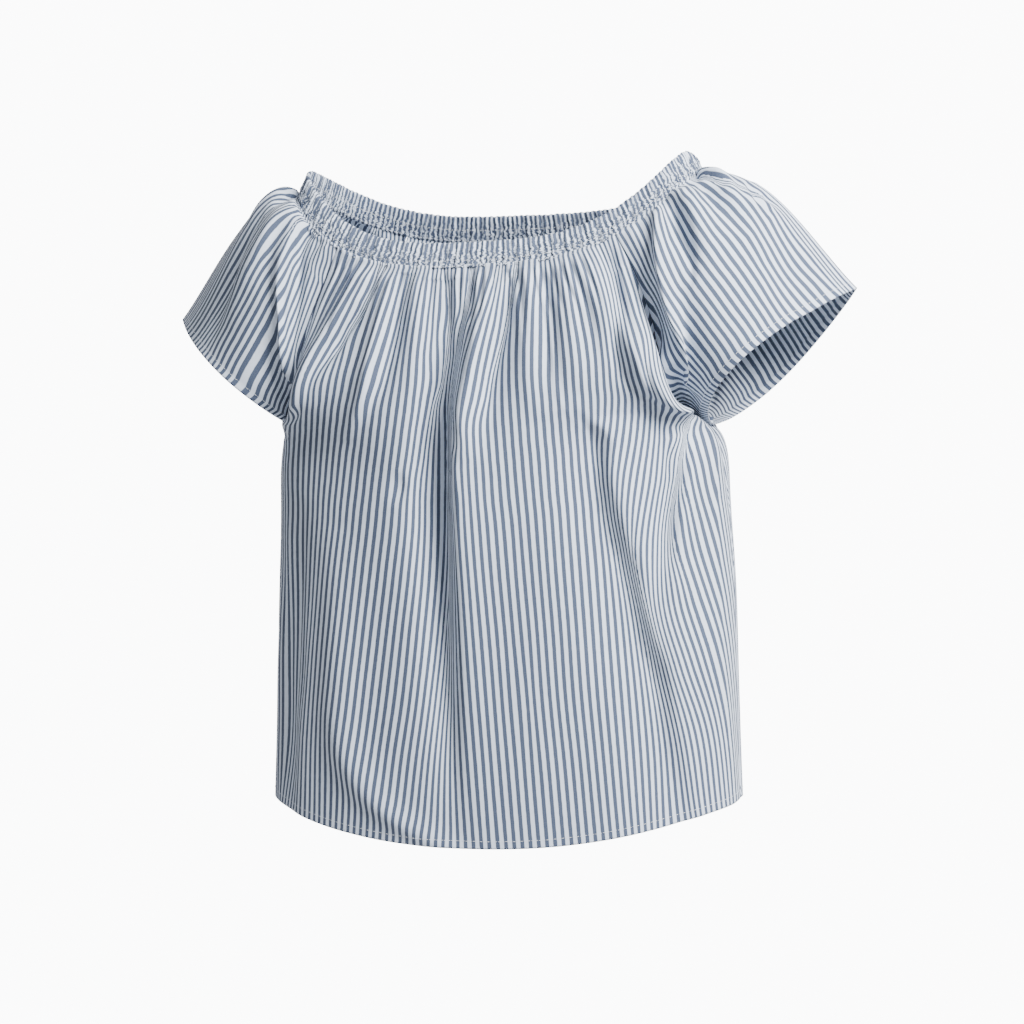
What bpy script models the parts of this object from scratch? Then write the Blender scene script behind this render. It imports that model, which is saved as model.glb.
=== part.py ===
"""An off-shoulder top of striped shirting, standing open as if worn, in metres, +Z up.

The origin is the centre of the elastic neck ring, where the wearer's shoulders hold the top up.
+X is the wearer's left and -Y the front. Five pieces are cut and sewn: a front, a back, two raglan
sleeves and an elastic casing round the neck. Each is a cloth wall between an outer and an inner face,
lofted through sections that follow from the sizes below, with its gathers and folds as relief.
"""
import math

import bpy
import numpy as np

# Cloth walls and seams
CLOTH_WALL = 0.0016
HEM_WALL = 0.0026
HEM_DEPTH = 0.007
SEAM_GAP = 0.0003
EDGE_CLEARANCE = 0.00025
CORNER_CLEARANCE = 0.0006

# Neck ring, measured along the casing's top edge
NECK_HALF_WIDTH = 0.179
NECK_HALF_DEPTH = 0.099
NECK_POWER = 0.632
NECK_SHOULDER_RISE = 0.027
NECK_FRONT_RISE = -0.058
NECK_BACK_RISE = -0.003
NECK_RISE_POWER = 2.06

# Casing: its depth, how much it flares to its lower edge, and its ribs
CASING_DEPTH = 0.024
CASING_FLARE_SIDE = 0.009
CASING_FLARE_FRONT = 0.0125
CASING_WALL = 0.0022
CASING_RIBS = 118
RIB_HEIGHT = 0.0012
CASING_COLUMNS = ("share_down", "rib_share")
CASING_ROWS = ((0.0, 0.4), (0.23, 1.0), (0.5, 0.0), (0.77, 1.0), (1.0, 0.3))

# The neck ring sits a little lower on the wearer's left shoulder, fading out down to the chest
NECK_TILT = -0.020
TILT_REACH = 0.16

# Where the raglan seams leave the casing, as an angle round the neck from the shoulder
SEAM_ANGLE = 1.006

# Raglan seams: Bezier handles between the casing and the underarm, on the wearer's left
UNDERARM = (0.180, 0.004, -0.218)
FRONT_SEAM_HANDLES = ((0.190, -0.112, -0.182), (0.166, -0.146, -0.196))
BACK_SEAM_HANDLES = ((0.188, 0.118, -0.165), (0.172, 0.140, -0.196))

# Side seams: they swing out from under the arm, then hang to the hem
SIDE_SEAM_HANDLES = ((0.217, -0.006, -0.240), (0.2095, -0.032, -0.400))

# Hem
HEM_HALF_WIDTH = 0.2145
HEM_HALF_DEPTH = 0.114
HEM_CENTRE_Y = -0.036
HEM_LEVEL = -0.580
HEM_SIDE_RISE = 0.034
HEM_POWER = 0.874
HEM_RISE_POWER = 2.17

# Below each armhole the body swells out past the tucked underarm
SWELL = 0.015
SWELL_REACH = 0.10

# Cuff, on the wearer's left: its outer tip, its underarm end, and its front and back bulges
CUFF_TIP = (0.321, -0.005, -0.102)
CUFF_UNDERARM = (0.190, 0.005, -0.2185)
CUFF_FRONT = (0.230, -0.103, -0.173)
CUFF_BACK = (0.241, 0.090, -0.175)
CUFF_POWER = 1.75

# How the sleeve leaves the casing (out, aside, up and down) and how straight it runs to the cuff
PUFF_OUT = 0.75
PUFF_ASIDE = 0.80
PUFF_RISE = 0.62
PUFF_DROP = 0.25
PUFF_LENGTH = 0.25
PUFF_LENGTH_OVER = 0.10
CUFF_LENGTH = 0.30
EDGE_PULL_POWER = 3.0

# Rows of sections along the raglan seam, closer together near the casing, and from underarm to hem
RAGLAN_ROWS = 9
ROW_CROWDING = 1.3
SIDE_ROWS = 8
RAGLAN_SHARE = 0.37
SLEEVE_SEAM_SHARE = 0.955

# Profile down the middle of each body panel: how far out it stands at a share of the way down
PROFILE_COLUMNS = ("share_down", "front_y", "back_y")
PROFILE = (
    (0.00, -0.1115, 0.1115),
    (0.10, -0.1220, 0.1150),
    (0.25, -0.1340, 0.1130),
    (0.45, -0.1380, 0.1040),
    (0.70, -0.1370, 0.0960),
    (1.00, -0.1360, 0.0920),
)

# Small gathers under the casing
BODY_GATHERS = 22
SLEEVE_GATHERS = 12
GATHER_DEPTH_LEAST = 0.0017
GATHER_DEPTH_SPREAD = 0.0013
GATHER_REACH_LEAST = 0.10
GATHER_REACH_SPREAD = 0.15
GATHER_TOP_SHARE = 0.35
GATHER_START = 0.035
FRONT_UNEVENNESS = 2.4
BACK_UNEVENNESS = 3.1
SLEEVE_UNEVENNESS = 1.9

# Folds: where each starts, passes and ends (level down the panel, share across it), how wide its
# two flanks are, and how far it stands out (a ridge) or in (a trough)
FOLD_COLUMNS = ("top", "top_share", "middle", "middle_share", "foot", "foot_share", "left", "right", "height")
FRONT_FOLDS = (
    (0.04, -0.13, 0.30, -0.050, 1.00, -0.010, 0.024, 0.010, -0.020),
    (0.01, 0.180, 0.15, 0.085, 0.31, 0.015, 0.011, 0.011, 0.0080),
    (0.02, 0.265, 0.15, 0.175, 0.33, 0.090, 0.009, 0.012, -0.0055),
    (0.00, 0.390, 0.10, 0.340, 0.24, 0.310, 0.010, 0.010, 0.0050),
    (0.00, 0.610, 0.09, 0.565, 0.21, 0.530, 0.010, 0.010, 0.0050),
    (0.01, 0.480, 0.08, 0.440, 0.20, 0.415, 0.007, 0.007, -0.0040),
    (0.02, 0.700, 0.13, 0.770, 0.30, 0.860, 0.012, 0.014, 0.0070),
    (0.00, 0.870, 0.06, 0.845, 0.16, 0.820, 0.008, 0.008, -0.0050),
    (0.00, -0.670, 0.08, -0.720, 0.22, -0.810, 0.011, 0.011, 0.0070),
    (0.00, -0.510, 0.11, -0.455, 0.28, -0.450, 0.012, 0.011, 0.0070),
    (0.02, -0.420, 0.13, -0.385, 0.28, -0.410, 0.007, 0.008, -0.0045),
    (0.00, -0.330, 0.09, -0.270, 0.22, -0.230, 0.010, 0.010, 0.0050),
    (0.06, 0.940, 0.22, 0.880, 0.42, 0.700, 0.016, 0.012, 0.0080),
    (0.24, 0.300, 0.50, 0.340, 0.95, 0.560, 0.030, 0.016, -0.0060),
    (0.26, 0.500, 0.50, 0.490, 1.00, 0.720, 0.014, 0.034, 0.0080),
    (0.40, 0.660, 0.50, 0.600, 0.64, 0.580, 0.022, 0.010, -0.0060),
    (0.40, 0.780, 0.56, 0.720, 1.00, 0.900, 0.012, 0.030, 0.0060),
    (0.50, -0.560, 0.75, -0.560, 1.00, -0.420, 0.030, 0.020, -0.0060),
    (0.50, -0.400, 0.82, -0.380, 1.00, -0.120, 0.024, 0.026, 0.0070),
)
BACK_FOLDS = (
    (0.03, 0.060, 0.35, 0.090, 1.00, 0.120, 0.018, 0.026, -0.0130),
    (0.01, -0.220, 0.15, -0.180, 0.34, -0.120, 0.012, 0.012, 0.0070),
    (0.01, 0.330, 0.12, 0.350, 0.30, 0.400, 0.012, 0.012, 0.0070),
    (0.02, -0.480, 0.14, -0.500, 0.30, -0.540, 0.010, 0.012, -0.0050),
    (0.00, -0.660, 0.10, -0.700, 0.24, -0.760, 0.011, 0.011, 0.0060),
    (0.00, 0.620, 0.10, 0.660, 0.26, 0.720, 0.011, 0.011, 0.0060),
    (0.30, -0.400, 0.60, -0.420, 1.00, -0.520, 0.020, 0.030, -0.0080),
    (0.35, -0.240, 0.65, -0.260, 1.00, -0.300, 0.026, 0.022, 0.0070),
    (0.32, 0.520, 0.65, 0.560, 1.00, 0.600, 0.026, 0.018, -0.0070),
    (0.40, 0.360, 0.70, 0.380, 1.00, 0.380, 0.024, 0.024, 0.0060),
)
SLEEVE_FOLDS = (
    (0.00, -0.700, 0.25, -0.800, 0.86, -0.900, 0.013, 0.020, 0.0100),
    (0.00, -0.590, 0.14, -0.660, 0.40, -0.700, 0.009, 0.009, -0.0060),
    (0.00, -0.480, 0.16, -0.540, 0.36, -0.560, 0.009, 0.010, 0.0050),
    (0.00, -0.400, 0.15, -0.430, 0.34, -0.440, 0.008, 0.010, -0.0050),
    (0.00, 0.420, 0.15, 0.460, 0.36, 0.480, 0.009, 0.010, -0.0050),
    (0.00, 0.640, 0.20, 0.700, 0.70, 0.820, 0.014, 0.018, 0.0070),
    (0.35, -0.180, 0.70, -0.220, 1.00, -0.240, 0.020, 0.024, -0.0040),
)
FOLD_START = 0.05
FOLD_END = 0.12
FOLD_END_SHARE = 0.6
BODY_EDGE_FADE = 0.05
SLEEVE_EDGE_FADE = 0.08

# Mean colours of the striped cloth on each piece
FRONT_COLOUR = (0.50, 0.56, 0.66)
BACK_COLOUR = (0.46, 0.52, 0.62)
SLEEVE_COLOUR = (0.52, 0.58, 0.68)
CASING_COLOUR = (0.42, 0.48, 0.58)

DENSE = 720


def signed_power(value, power):
    """Raise a value to a power and keep its sign."""
    return np.sign(value) * np.abs(value) ** power


def smooth_step(value):
    """Ease from 0 to 1 as the value goes from 0 to 1."""
    share = np.clip(value, 0.0, 1.0)
    return share * share * (3.0 - 2.0 * share)


def resample(points, shares):
    """Read a polyline at shares of its length."""
    steps = np.linalg.norm(np.diff(points, axis=0), axis=1)
    reach = np.concatenate(([0.0], np.cumsum(steps)))
    wanted = np.asarray(shares) * reach[-1]
    return np.stack([np.interp(wanted, reach, points[:, axis]) for axis in range(3)], axis=1)


def neck_curve(angles, drop):
    """Points of the neck ring at angles from the left shoulder, a drop below the casing's top edge."""
    cosine = np.cos(angles)
    sine = np.sin(angles)
    shoulder = np.abs(cosine) ** NECK_RISE_POWER
    middle = np.where(sine < 0.0, NECK_FRONT_RISE, NECK_BACK_RISE)
    share = drop / CASING_DEPTH
    x = (NECK_HALF_WIDTH + CASING_FLARE_SIDE * share) * signed_power(cosine, NECK_POWER)
    y = (NECK_HALF_DEPTH + CASING_FLARE_FRONT * share) * signed_power(sine, NECK_POWER)
    z = NECK_SHOULDER_RISE * shoulder + middle * (1.0 - shoulder) - drop
    return np.stack((x, y, z), axis=-1)


def neck_arc(start, end, drop, shares):
    """Points of the neck ring between two angles, at shares of that arc's length."""
    ease = 0.5 - 0.5 * np.cos(np.linspace(0.0, math.pi, DENSE))
    return resample(neck_curve(start + (end - start) * ease, drop), shares)


def bezier(ends_and_handles, count):
    """A cubic Bezier curve as a dense polyline."""
    first, first_handle, second_handle, last = (np.asarray(point) for point in ends_and_handles)
    share = np.linspace(0.0, 1.0, count)[:, None]
    rest = 1.0 - share
    return (rest ** 3 * first + 3.0 * share * rest ** 2 * first_handle
            + 3.0 * share ** 2 * rest * second_handle + share ** 3 * last)


def raglan_seam(face, shares):
    """The left raglan seam of the front (-1) or back (+1), from the casing to the underarm."""
    start = neck_curve(np.array([face * SEAM_ANGLE]), CASING_DEPTH + SEAM_GAP)[0]
    handles = FRONT_SEAM_HANDLES if face < 0 else BACK_SEAM_HANDLES
    return resample(bezier((start, *handles, UNDERARM), DENSE), shares)


def side_seam(shares):
    """The left side seam from the underarm to the hem."""
    hem_side = (HEM_HALF_WIDTH, HEM_CENTRE_Y, HEM_LEVEL + HEM_SIDE_RISE)
    return resample(bezier((UNDERARM, *SIDE_SEAM_HANDLES, hem_side), DENSE), shares)


def body_edge(face, levels):
    """The left edge of a body panel: raglan seam above the underarm, side seam below it."""
    levels = np.asarray(levels)
    raglan = raglan_seam(face, np.clip(levels / RAGLAN_SHARE, 0.0, 1.0))
    side = side_seam(np.clip((levels - RAGLAN_SHARE) / (1.0 - RAGLAN_SHARE), 0.0, 1.0))
    return np.where((levels <= RAGLAN_SHARE)[:, None], raglan, side)


def body_profile(face, levels):
    """The middle of a body panel, from the casing down to the hem."""
    column = PROFILE_COLUMNS.index("front_y" if face < 0 else "back_y")
    table = np.asarray(PROFILE)
    top = neck_curve(np.array([face * math.pi / 2.0]), CASING_DEPTH + SEAM_GAP)[0]
    y = smooth_table(table[:, 0], table[:, column], levels)
    z = top[2] + (HEM_LEVEL - top[2]) * np.asarray(levels)
    return np.stack((np.zeros_like(z), y, z), axis=1)


def smooth_table(places, values, wanted):
    """Read a short table with a smooth curve through its rows."""
    slopes = np.gradient(values, places)
    wanted = np.asarray(wanted, dtype=float)
    row = np.clip(np.searchsorted(places, wanted, side="right") - 1, 0, len(places) - 2)
    width = places[row + 1] - places[row]
    share = (wanted - places[row]) / width
    rise = (2.0 * share ** 3 - 3.0 * share ** 2 + 1.0) * values[row]
    fall = (3.0 * share ** 2 - 2.0 * share ** 3) * values[row + 1]
    first = (share ** 3 - 2.0 * share ** 2 + share) * width * slopes[row]
    last = (share ** 3 - share ** 2) * width * slopes[row + 1]
    return rise + fall + first + last


def neck_shape(face, shares):
    """The top edge of a body panel as shares of its width, its bow and its rise, from middle to edge."""
    middle = face * math.pi / 2.0
    arc = neck_arc(middle, face * SEAM_ANGLE, CASING_DEPTH + SEAM_GAP, shares)
    centre = arc[0]
    edge = neck_curve(np.array([face * SEAM_ANGLE]), CASING_DEPTH + SEAM_GAP)[0]
    return arc[:, 0] / edge[0], (arc[:, 1] - edge[1]) / (centre[1] - edge[1]), \
        (arc[:, 2] - edge[2]) / (centre[2] - edge[2])


def hem_shape(width, depth, shares):
    """A rounded section of the body as shares of its width, its bow and its rise, from middle to edge."""
    angle = np.linspace(0.0, math.pi / 2.0, DENSE)
    across = np.sin(angle) ** HEM_POWER
    bow = np.cos(angle) ** HEM_POWER
    flat = np.stack((width * across, depth * bow, np.zeros_like(across)), axis=1)
    even = resample(flat, shares)
    return even[:, 0] / width, even[:, 1] / depth, 1.0 - np.abs(even[:, 0] / width) ** HEM_RISE_POWER


def body_surface(face, shares, levels):
    """The smooth form of a body panel: rows at levels 0 (casing) to 1 (hem), shares -1 to 1 across."""
    shares = np.asarray(shares)
    order = np.argsort(np.abs(shares))
    half = np.abs(shares)[order]
    edges = body_edge(face, levels)
    centres = body_profile(face, levels)
    top_x, top_y, top_z = neck_shape(face, half)
    rows = np.zeros((len(levels), len(shares), 3))
    for row, level in enumerate(levels):
        edge = edges[row]
        centre = centres[row]
        span = centre - edge
        low_x, low_y, low_z = hem_shape(abs(edge[0]), abs(span[1]), half)
        blend = smooth_step(level / RAGLAN_SHARE)
        across = top_x + (low_x - top_x) * blend
        bow = top_y + (low_y - top_y) * blend
        rise = top_z + (low_z - top_z) * blend
        swell = SWELL * math.exp(-((level - RAGLAN_SHARE) / SWELL_REACH) ** 2) * np.sin(math.pi * half ** 3)
        rows[row, order, 0] = (edge[0] * across + swell) * np.sign(shares[order] + 1e-12)
        rows[row, order, 1] = edge[1] + span[1] * bow
        rows[row, order, 2] = edge[2] + span[2] * rise
    return rows


def cuff_curve(shares):
    """The cuff's edge from the underarm, over the front (-1 to 0) to the tip, and down the back (0 to 1)."""
    tip = np.asarray(CUFF_TIP)
    underarm = np.asarray(CUFF_UNDERARM)
    centre = (tip + underarm) / 2.0
    half = (tip - underarm) / 2.0
    angle = np.linspace(0.0, math.pi, DENSE)[:, None]
    halves = []
    for bulge in (CUFF_FRONT, CUFF_BACK):
        lens = centre + np.cos(angle) * half + np.sin(angle) ** CUFF_POWER * (np.asarray(bulge) - centre)
        halves.append(lens)
    shares = np.asarray(shares)
    front = resample(halves[0], np.clip(-shares, 0.0, 1.0))
    back = resample(halves[1], np.clip(shares, 0.0, 1.0))
    return np.where((shares <= 0.0)[:, None], front, back)


def sleeve_edge(face, levels):
    """The sleeve's front (-1) or back (+1) edge: raglan seam, then the short underarm seam."""
    levels = np.asarray(levels)
    raglan = raglan_seam(face, np.clip(levels / SLEEVE_SEAM_SHARE, 0.0, 1.0))
    rest = np.clip((levels - SLEEVE_SEAM_SHARE) / (1.0 - SLEEVE_SEAM_SHARE), 0.0, 1.0)[:, None]
    short = np.asarray(UNDERARM) + rest * (np.asarray(CUFF_UNDERARM) - np.asarray(UNDERARM))
    return np.where((levels <= SLEEVE_SEAM_SHARE)[:, None], raglan, short)


def sleeve_surface(shares, levels):
    """The smooth form of the left sleeve: levels 0 (casing) to 1 (cuff), shares -1 (front) to 1 (back)."""
    shares = np.asarray(shares)
    levels = np.asarray(levels)[:, None, None]
    arc = neck_arc(-SEAM_ANGLE, SEAM_ANGLE, CASING_DEPTH + SEAM_GAP, (shares + 1.0) / 2.0)
    cuff = cuff_curve(shares)
    length = np.linalg.norm(cuff - arc, axis=1)[:, None]
    over = (1.0 - np.abs(shares))[:, None]
    lift = PUFF_RISE * (1.0 - shares ** 2) - PUFF_DROP
    away = np.stack((np.full(len(shares), PUFF_OUT), PUFF_ASIDE * shares, lift), axis=1)
    away /= np.linalg.norm(away, axis=1)[:, None]
    cuff_axis = np.cross(np.asarray(CUFF_TIP) - np.asarray(CUFF_UNDERARM),
                         np.asarray(CUFF_FRONT) - np.asarray(CUFF_BACK))
    cuff_axis /= np.linalg.norm(cuff_axis)
    leave = arc + away * length * (PUFF_LENGTH + PUFF_LENGTH_OVER * over)
    arrive = cuff - cuff_axis * length * CUFF_LENGTH
    rest = 1.0 - levels
    base = (rest ** 3 * arc + 3.0 * levels * rest ** 2 * leave
            + 3.0 * levels ** 2 * rest * arrive + levels ** 3 * cuff)
    for face, side in ((-1, shares < 0.0), (1, shares >= 0.0)):
        column = 0 if face < 0 else -1
        shift = sleeve_edge(face, levels[:, 0, 0]) - base[:, column].copy()
        pull = np.where(side, np.abs(shares) ** EDGE_PULL_POWER, 0.0)
        base = base + pull[None, :, None] * shift[:, None, :]
    return base


def grid_normals(grid):
    """Unit normals of a grid of points, from its rows and columns."""
    down = np.gradient(grid, axis=0)
    across = np.gradient(grid, axis=1)
    normals = np.cross(across, down)
    return normals / np.maximum(np.linalg.norm(normals, axis=2)[..., None], 1e-12)


def tilt(points):
    """Lower the left shoulder a little and raise the right one, as the neck ring sits."""
    moved = np.array(points, dtype=float)
    share = smooth_step((moved[..., 2] + TILT_REACH) / TILT_REACH)
    moved[..., 2] += NECK_TILT * moved[..., 0] * share
    return moved


def fold_relief(table, shares, levels, half_widths):
    """Height of a panel's folds above its smooth form, from its fold table."""
    relief = np.zeros((len(levels), len(shares)))
    levels = np.asarray(levels)[:, None]
    shares = np.asarray(shares)[None, :]
    for values in table:
        fold = dict(zip(FOLD_COLUMNS, values))
        places = (fold["top"], fold["middle"], fold["foot"])
        path = np.interp(levels, places, (fold["top_share"], fold["middle_share"], fold["foot_share"]))
        offset = (shares - path) * half_widths[:, None]
        width = np.where(offset < 0.0, fold["left"], fold["right"])
        strength = smooth_step((levels - fold["top"]) / FOLD_START)
        if fold["foot"] < 1.0:
            fade = min(FOLD_END, FOLD_END_SHARE * (fold["foot"] - fold["top"]))
            strength = strength * smooth_step((fold["foot"] - levels) / fade)
        relief += fold["height"] * np.exp(-(offset / width) ** 2) * strength
    return relief


def gather_relief(count, unevenness, shares, levels):
    """Height of the small gathers under the casing: uneven ridges that die out down the panel."""
    position = (np.asarray(shares) + 1.0) / 2.0 * count
    wave = -np.cos(2.0 * math.pi * position)
    number = np.floor(position)
    reach = GATHER_REACH_LEAST + GATHER_REACH_SPREAD * np.abs(np.sin(number * unevenness))
    depth = GATHER_DEPTH_LEAST + GATHER_DEPTH_SPREAD * np.abs(np.cos(number * unevenness))
    down = np.asarray(levels)[:, None]
    rise = GATHER_TOP_SHARE + (1.0 - GATHER_TOP_SHARE) * smooth_step(down / GATHER_START)
    return depth * wave * rise * np.exp(-(down / reach) ** 1.6)


def edge_fade(shares, reach):
    """Fade relief to nothing at both edges of a panel."""
    return smooth_step((1.0 - np.abs(shares)) / reach)


def half_arcs(rows):
    """Half the length of each row of points."""
    return np.linalg.norm(np.diff(rows, axis=1), axis=2).sum(axis=1) / 2.0


def seam_rows():
    """Shares of the raglan seam's length at which it is sampled, closer together near the casing."""
    return (np.arange(RAGLAN_ROWS + 1) / RAGLAN_ROWS) ** ROW_CROWDING


def body_levels():
    """Levels of a body panel's sections, the last but one at the hem's stitch line."""
    above = RAGLAN_SHARE * seam_rows()
    stitch = 1.0 - HEM_DEPTH / abs(HEM_LEVEL - NECK_FRONT_RISE)
    below = np.linspace(RAGLAN_SHARE, stitch, SIDE_ROWS)[1:]
    return np.concatenate((above, below, [1.0]))


def sleeve_levels():
    """Levels of a sleeve's sections, the last two at the cuff's stitch line and edge."""
    return np.concatenate((SLEEVE_SEAM_SHARE * seam_rows(), [1.0]))


def gather_columns(count):
    """Shares across a panel, one column on each gather's crest and one in each trough."""
    return np.linspace(-1.0, 1.0, 2 * count + 1)


def top_normals(row):
    """Level outward normals of a panel's top row, the same as the casing's."""
    run = np.gradient(row, axis=0)
    normal = np.stack((run[:, 1], -run[:, 0], np.zeros(len(row))), axis=1)
    return normal / np.linalg.norm(normal, axis=1)[:, None]


def outward(normals, away):
    """Turn a whole grid of normals so that its middle one points away from the body."""
    middle = normals[normals.shape[0] // 2, normals.shape[1] // 2]
    return normals if np.dot(middle, away) > 0.0 else -normals


def share_seam(first, second):
    """Give two panels the same normals along a seam: the mean of both."""
    mean = first + second
    mean /= np.linalg.norm(mean, axis=1)[:, None]
    first[:] = mean
    second[:] = mean


def draw_back(grid, normals, column, inner_column):
    """Move a panel's edge column into the panel, square to the seam, to leave the seam's gap."""
    edge = grid[:, column]
    across = np.cross(normals[:, column], np.gradient(edge, axis=0))
    across /= np.linalg.norm(across, axis=1)[:, None]
    inward = np.sign(np.einsum("ij,ij->i", across, grid[:, inner_column] - edge))
    amount = np.full(len(edge), EDGE_CLEARANCE)
    amount[RAGLAN_ROWS] = CORNER_CLEARANCE
    grid[:, column] = edge + across * (inward * amount)[:, None]


def mirrored(grid):
    """The same grid on the wearer's other side."""
    return grid[:, ::-1] * np.array((-1.0, 1.0, 1.0))


def wall_mesh(name, outer, inner, closed):
    """A closed cloth wall between an outer and an inner grid of points, split into matching triangles."""
    columns = outer.shape[1]
    layer = outer.shape[0] * columns
    last = columns if closed else columns - 1
    points = np.concatenate((outer.reshape(-1, 3), inner.reshape(-1, 3)))
    faces = []

    def number(row, column, start):
        return start + row * columns + column % columns

    def strip(upper, upper_start, lower, lower_start):
        for column in range(last):
            first, second = number(upper, column, upper_start), number(lower, column, lower_start)
            third, fourth = number(lower, column + 1, lower_start), number(upper, column + 1, upper_start)
            faces.append((first, second, third))
            faces.append((first, third, fourth))

    for grid, start in ((outer, 0), (inner, layer)):
        for row in range(len(grid) - 1):
            rows = (row, row + 1) if start == 0 else (row + 1, row)
            strip(rows[0], start, rows[1], start)
    strip(0, layer, 0, 0)
    strip(len(outer) - 1, 0, len(inner) - 1, layer)
    if not closed:
        for row in range(len(outer) - 1):
            for column, upper, lower in ((0, row, row + 1), (last, row + 1, row)):
                first, second = number(upper, column, 0), number(upper, column, layer)
                third, fourth = number(lower, column, layer), number(lower, column, 0)
                faces.append((first, second, third))
                faces.append((first, third, fourth))
    mesh = bpy.data.meshes.new(name)
    mesh.from_pydata(points.tolist(), [], faces)
    mesh.validate()
    mesh.update()
    return mesh


def cloth_material(name, colour):
    """Matt woven cotton."""
    material = bpy.data.materials.new(name)
    material.use_nodes = True
    shader = material.node_tree.nodes["Principled BSDF"]
    shader.inputs["Base Color"].default_value = (*colour, 1.0)
    shader.inputs["Roughness"].default_value = 0.92
    shader.inputs["Metallic"].default_value = 0.0
    material.diffuse_color = (*colour, 1.0)
    return material


def add_piece(collection, name, outer, inner, closed, colour):
    """Make one named cloth piece from its outer and inner points."""
    mesh = wall_mesh(name, tilt(outer), tilt(inner), closed)
    mesh.shade_smooth()
    mesh.materials.append(cloth_material(name + "_cloth", colour))
    piece = bpy.data.objects.new(name, mesh)
    collection.objects.link(piece)
    return piece


def walls(rows):
    """Wall thickness of each row: thicker from the stitch line of the hem to its edge."""
    thickness = np.full(rows, CLOTH_WALL)
    thickness[-2:] = HEM_WALL
    return thickness[:, None, None]


def body_relief(face, rows, shares, levels):
    """Folds and gathers of the front or back panel."""
    table = FRONT_FOLDS if face < 0 else BACK_FOLDS
    folds = fold_relief(table, shares, levels, half_arcs(rows))
    unevenness = FRONT_UNEVENNESS if face < 0 else BACK_UNEVENNESS
    gathers = gather_relief(BODY_GATHERS, unevenness, shares, levels)
    return (folds + gathers) * edge_fade(shares, BODY_EDGE_FADE)


def sleeve_relief(rows, shares, levels):
    """Folds and gathers of a sleeve."""
    folds = fold_relief(SLEEVE_FOLDS, shares, levels, half_arcs(rows))
    gathers = gather_relief(SLEEVE_GATHERS, SLEEVE_UNEVENNESS, shares, levels)
    return (folds + gathers) * edge_fade(shares, SLEEVE_EDGE_FADE)


def casing_grids():
    """Outer and inner points of the ribbed neck casing."""
    columns = 2 * CASING_RIBS
    shares = np.arange(columns + 1) / columns
    rows = []
    table = np.asarray(CASING_ROWS)
    for share_down in table[:, CASING_COLUMNS.index("share_down")]:
        rows.append(neck_arc(-math.pi, math.pi, CASING_DEPTH * share_down, shares)[:-1])
    base = np.stack(rows)
    wrapped = np.concatenate((base[:, -1:], base, base[:, :1]), axis=1)
    normals = np.stack([top_normals(row)[1:-1] for row in wrapped])
    crest = np.where(np.arange(columns) % 2 == 0, 1.0, 0.0)[None, :]
    swell = RIB_HEIGHT * table[:, CASING_COLUMNS.index("rib_share")][:, None] * crest
    inner = base - normals * (CASING_WALL - RIB_HEIGHT)
    return base + normals * swell[..., None], inner[[0, -1]]


def build():
    """Build the five pieces of the top."""
    for old in list(bpy.data.objects):
        bpy.data.objects.remove(old)
    top = bpy.data.collections.new("off_shoulder_top")
    bpy.context.scene.collection.children.link(top)

    body_columns = gather_columns(BODY_GATHERS)
    sleeve_columns = gather_columns(SLEEVE_GATHERS)
    levels = body_levels()
    cuff_levels = sleeve_levels()
    front = body_surface(-1, body_columns, levels)
    back = body_surface(1, body_columns, levels)
    sleeve = sleeve_surface(sleeve_columns, cuff_levels)
    front_normals = outward(grid_normals(front), (0.0, -1.0, 0.0))
    back_normals = outward(grid_normals(back), (0.0, 1.0, 0.0))
    sleeve_normals = outward(grid_normals(sleeve), (1.0, 0.0, 0.0))
    front_normals[0] = top_normals(front[0])
    back_normals[0] = -top_normals(back[0])
    sleeve_normals[0] = top_normals(sleeve[0])

    raglan = slice(0, RAGLAN_ROWS + 1)
    side = slice(RAGLAN_ROWS, None)
    share_seam(front_normals[side, -1], back_normals[side, -1])
    share_seam(sleeve_normals[side, 0], sleeve_normals[side, -1])
    share_seam(front_normals[raglan, -1], sleeve_normals[raglan, 0])
    share_seam(back_normals[raglan, -1], sleeve_normals[raglan, -1])
    mirror_x = np.array((-1.0, 1.0, 1.0))
    front_normals[:, 0] = front_normals[:, -1] * mirror_x
    back_normals[:, 0] = back_normals[:, -1] * mirror_x

    front_relief = body_relief(-1, front, body_columns, levels)
    back_relief = body_relief(1, back, body_columns, levels)
    sleeve_folds = sleeve_relief(sleeve, sleeve_columns, cuff_levels)
    pieces = (
        ("front", front, front_normals, front_relief, FRONT_COLOUR),
        ("back", back, back_normals, back_relief, BACK_COLOUR),
        ("sleeve_left", sleeve, sleeve_normals, sleeve_folds, SLEEVE_COLOUR),
    )
    for name, grid, normals, relief, colour in pieces:
        draw_back(grid, normals, 0, 1)
        draw_back(grid, normals, -1, -2)
        outer = grid + normals * relief[..., None]
        inner = outer - normals * walls(len(grid))
        if name == "back":
            outer = outer[:, ::-1]
            inner = inner[:, ::-1]
        add_piece(top, name, outer, inner, False, colour)
        if name == "sleeve_left":
            add_piece(top, "sleeve_right", mirrored(outer), mirrored(inner), False, colour)
    add_piece(top, "neck_casing", *casing_grids(), True, CASING_COLOUR)


build()
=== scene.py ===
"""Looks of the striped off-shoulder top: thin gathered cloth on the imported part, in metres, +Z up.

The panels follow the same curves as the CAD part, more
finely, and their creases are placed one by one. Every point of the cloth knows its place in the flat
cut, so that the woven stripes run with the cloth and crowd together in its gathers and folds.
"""
import math

import bmesh
import bpy
import numpy as np
from mathutils import Matrix


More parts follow.
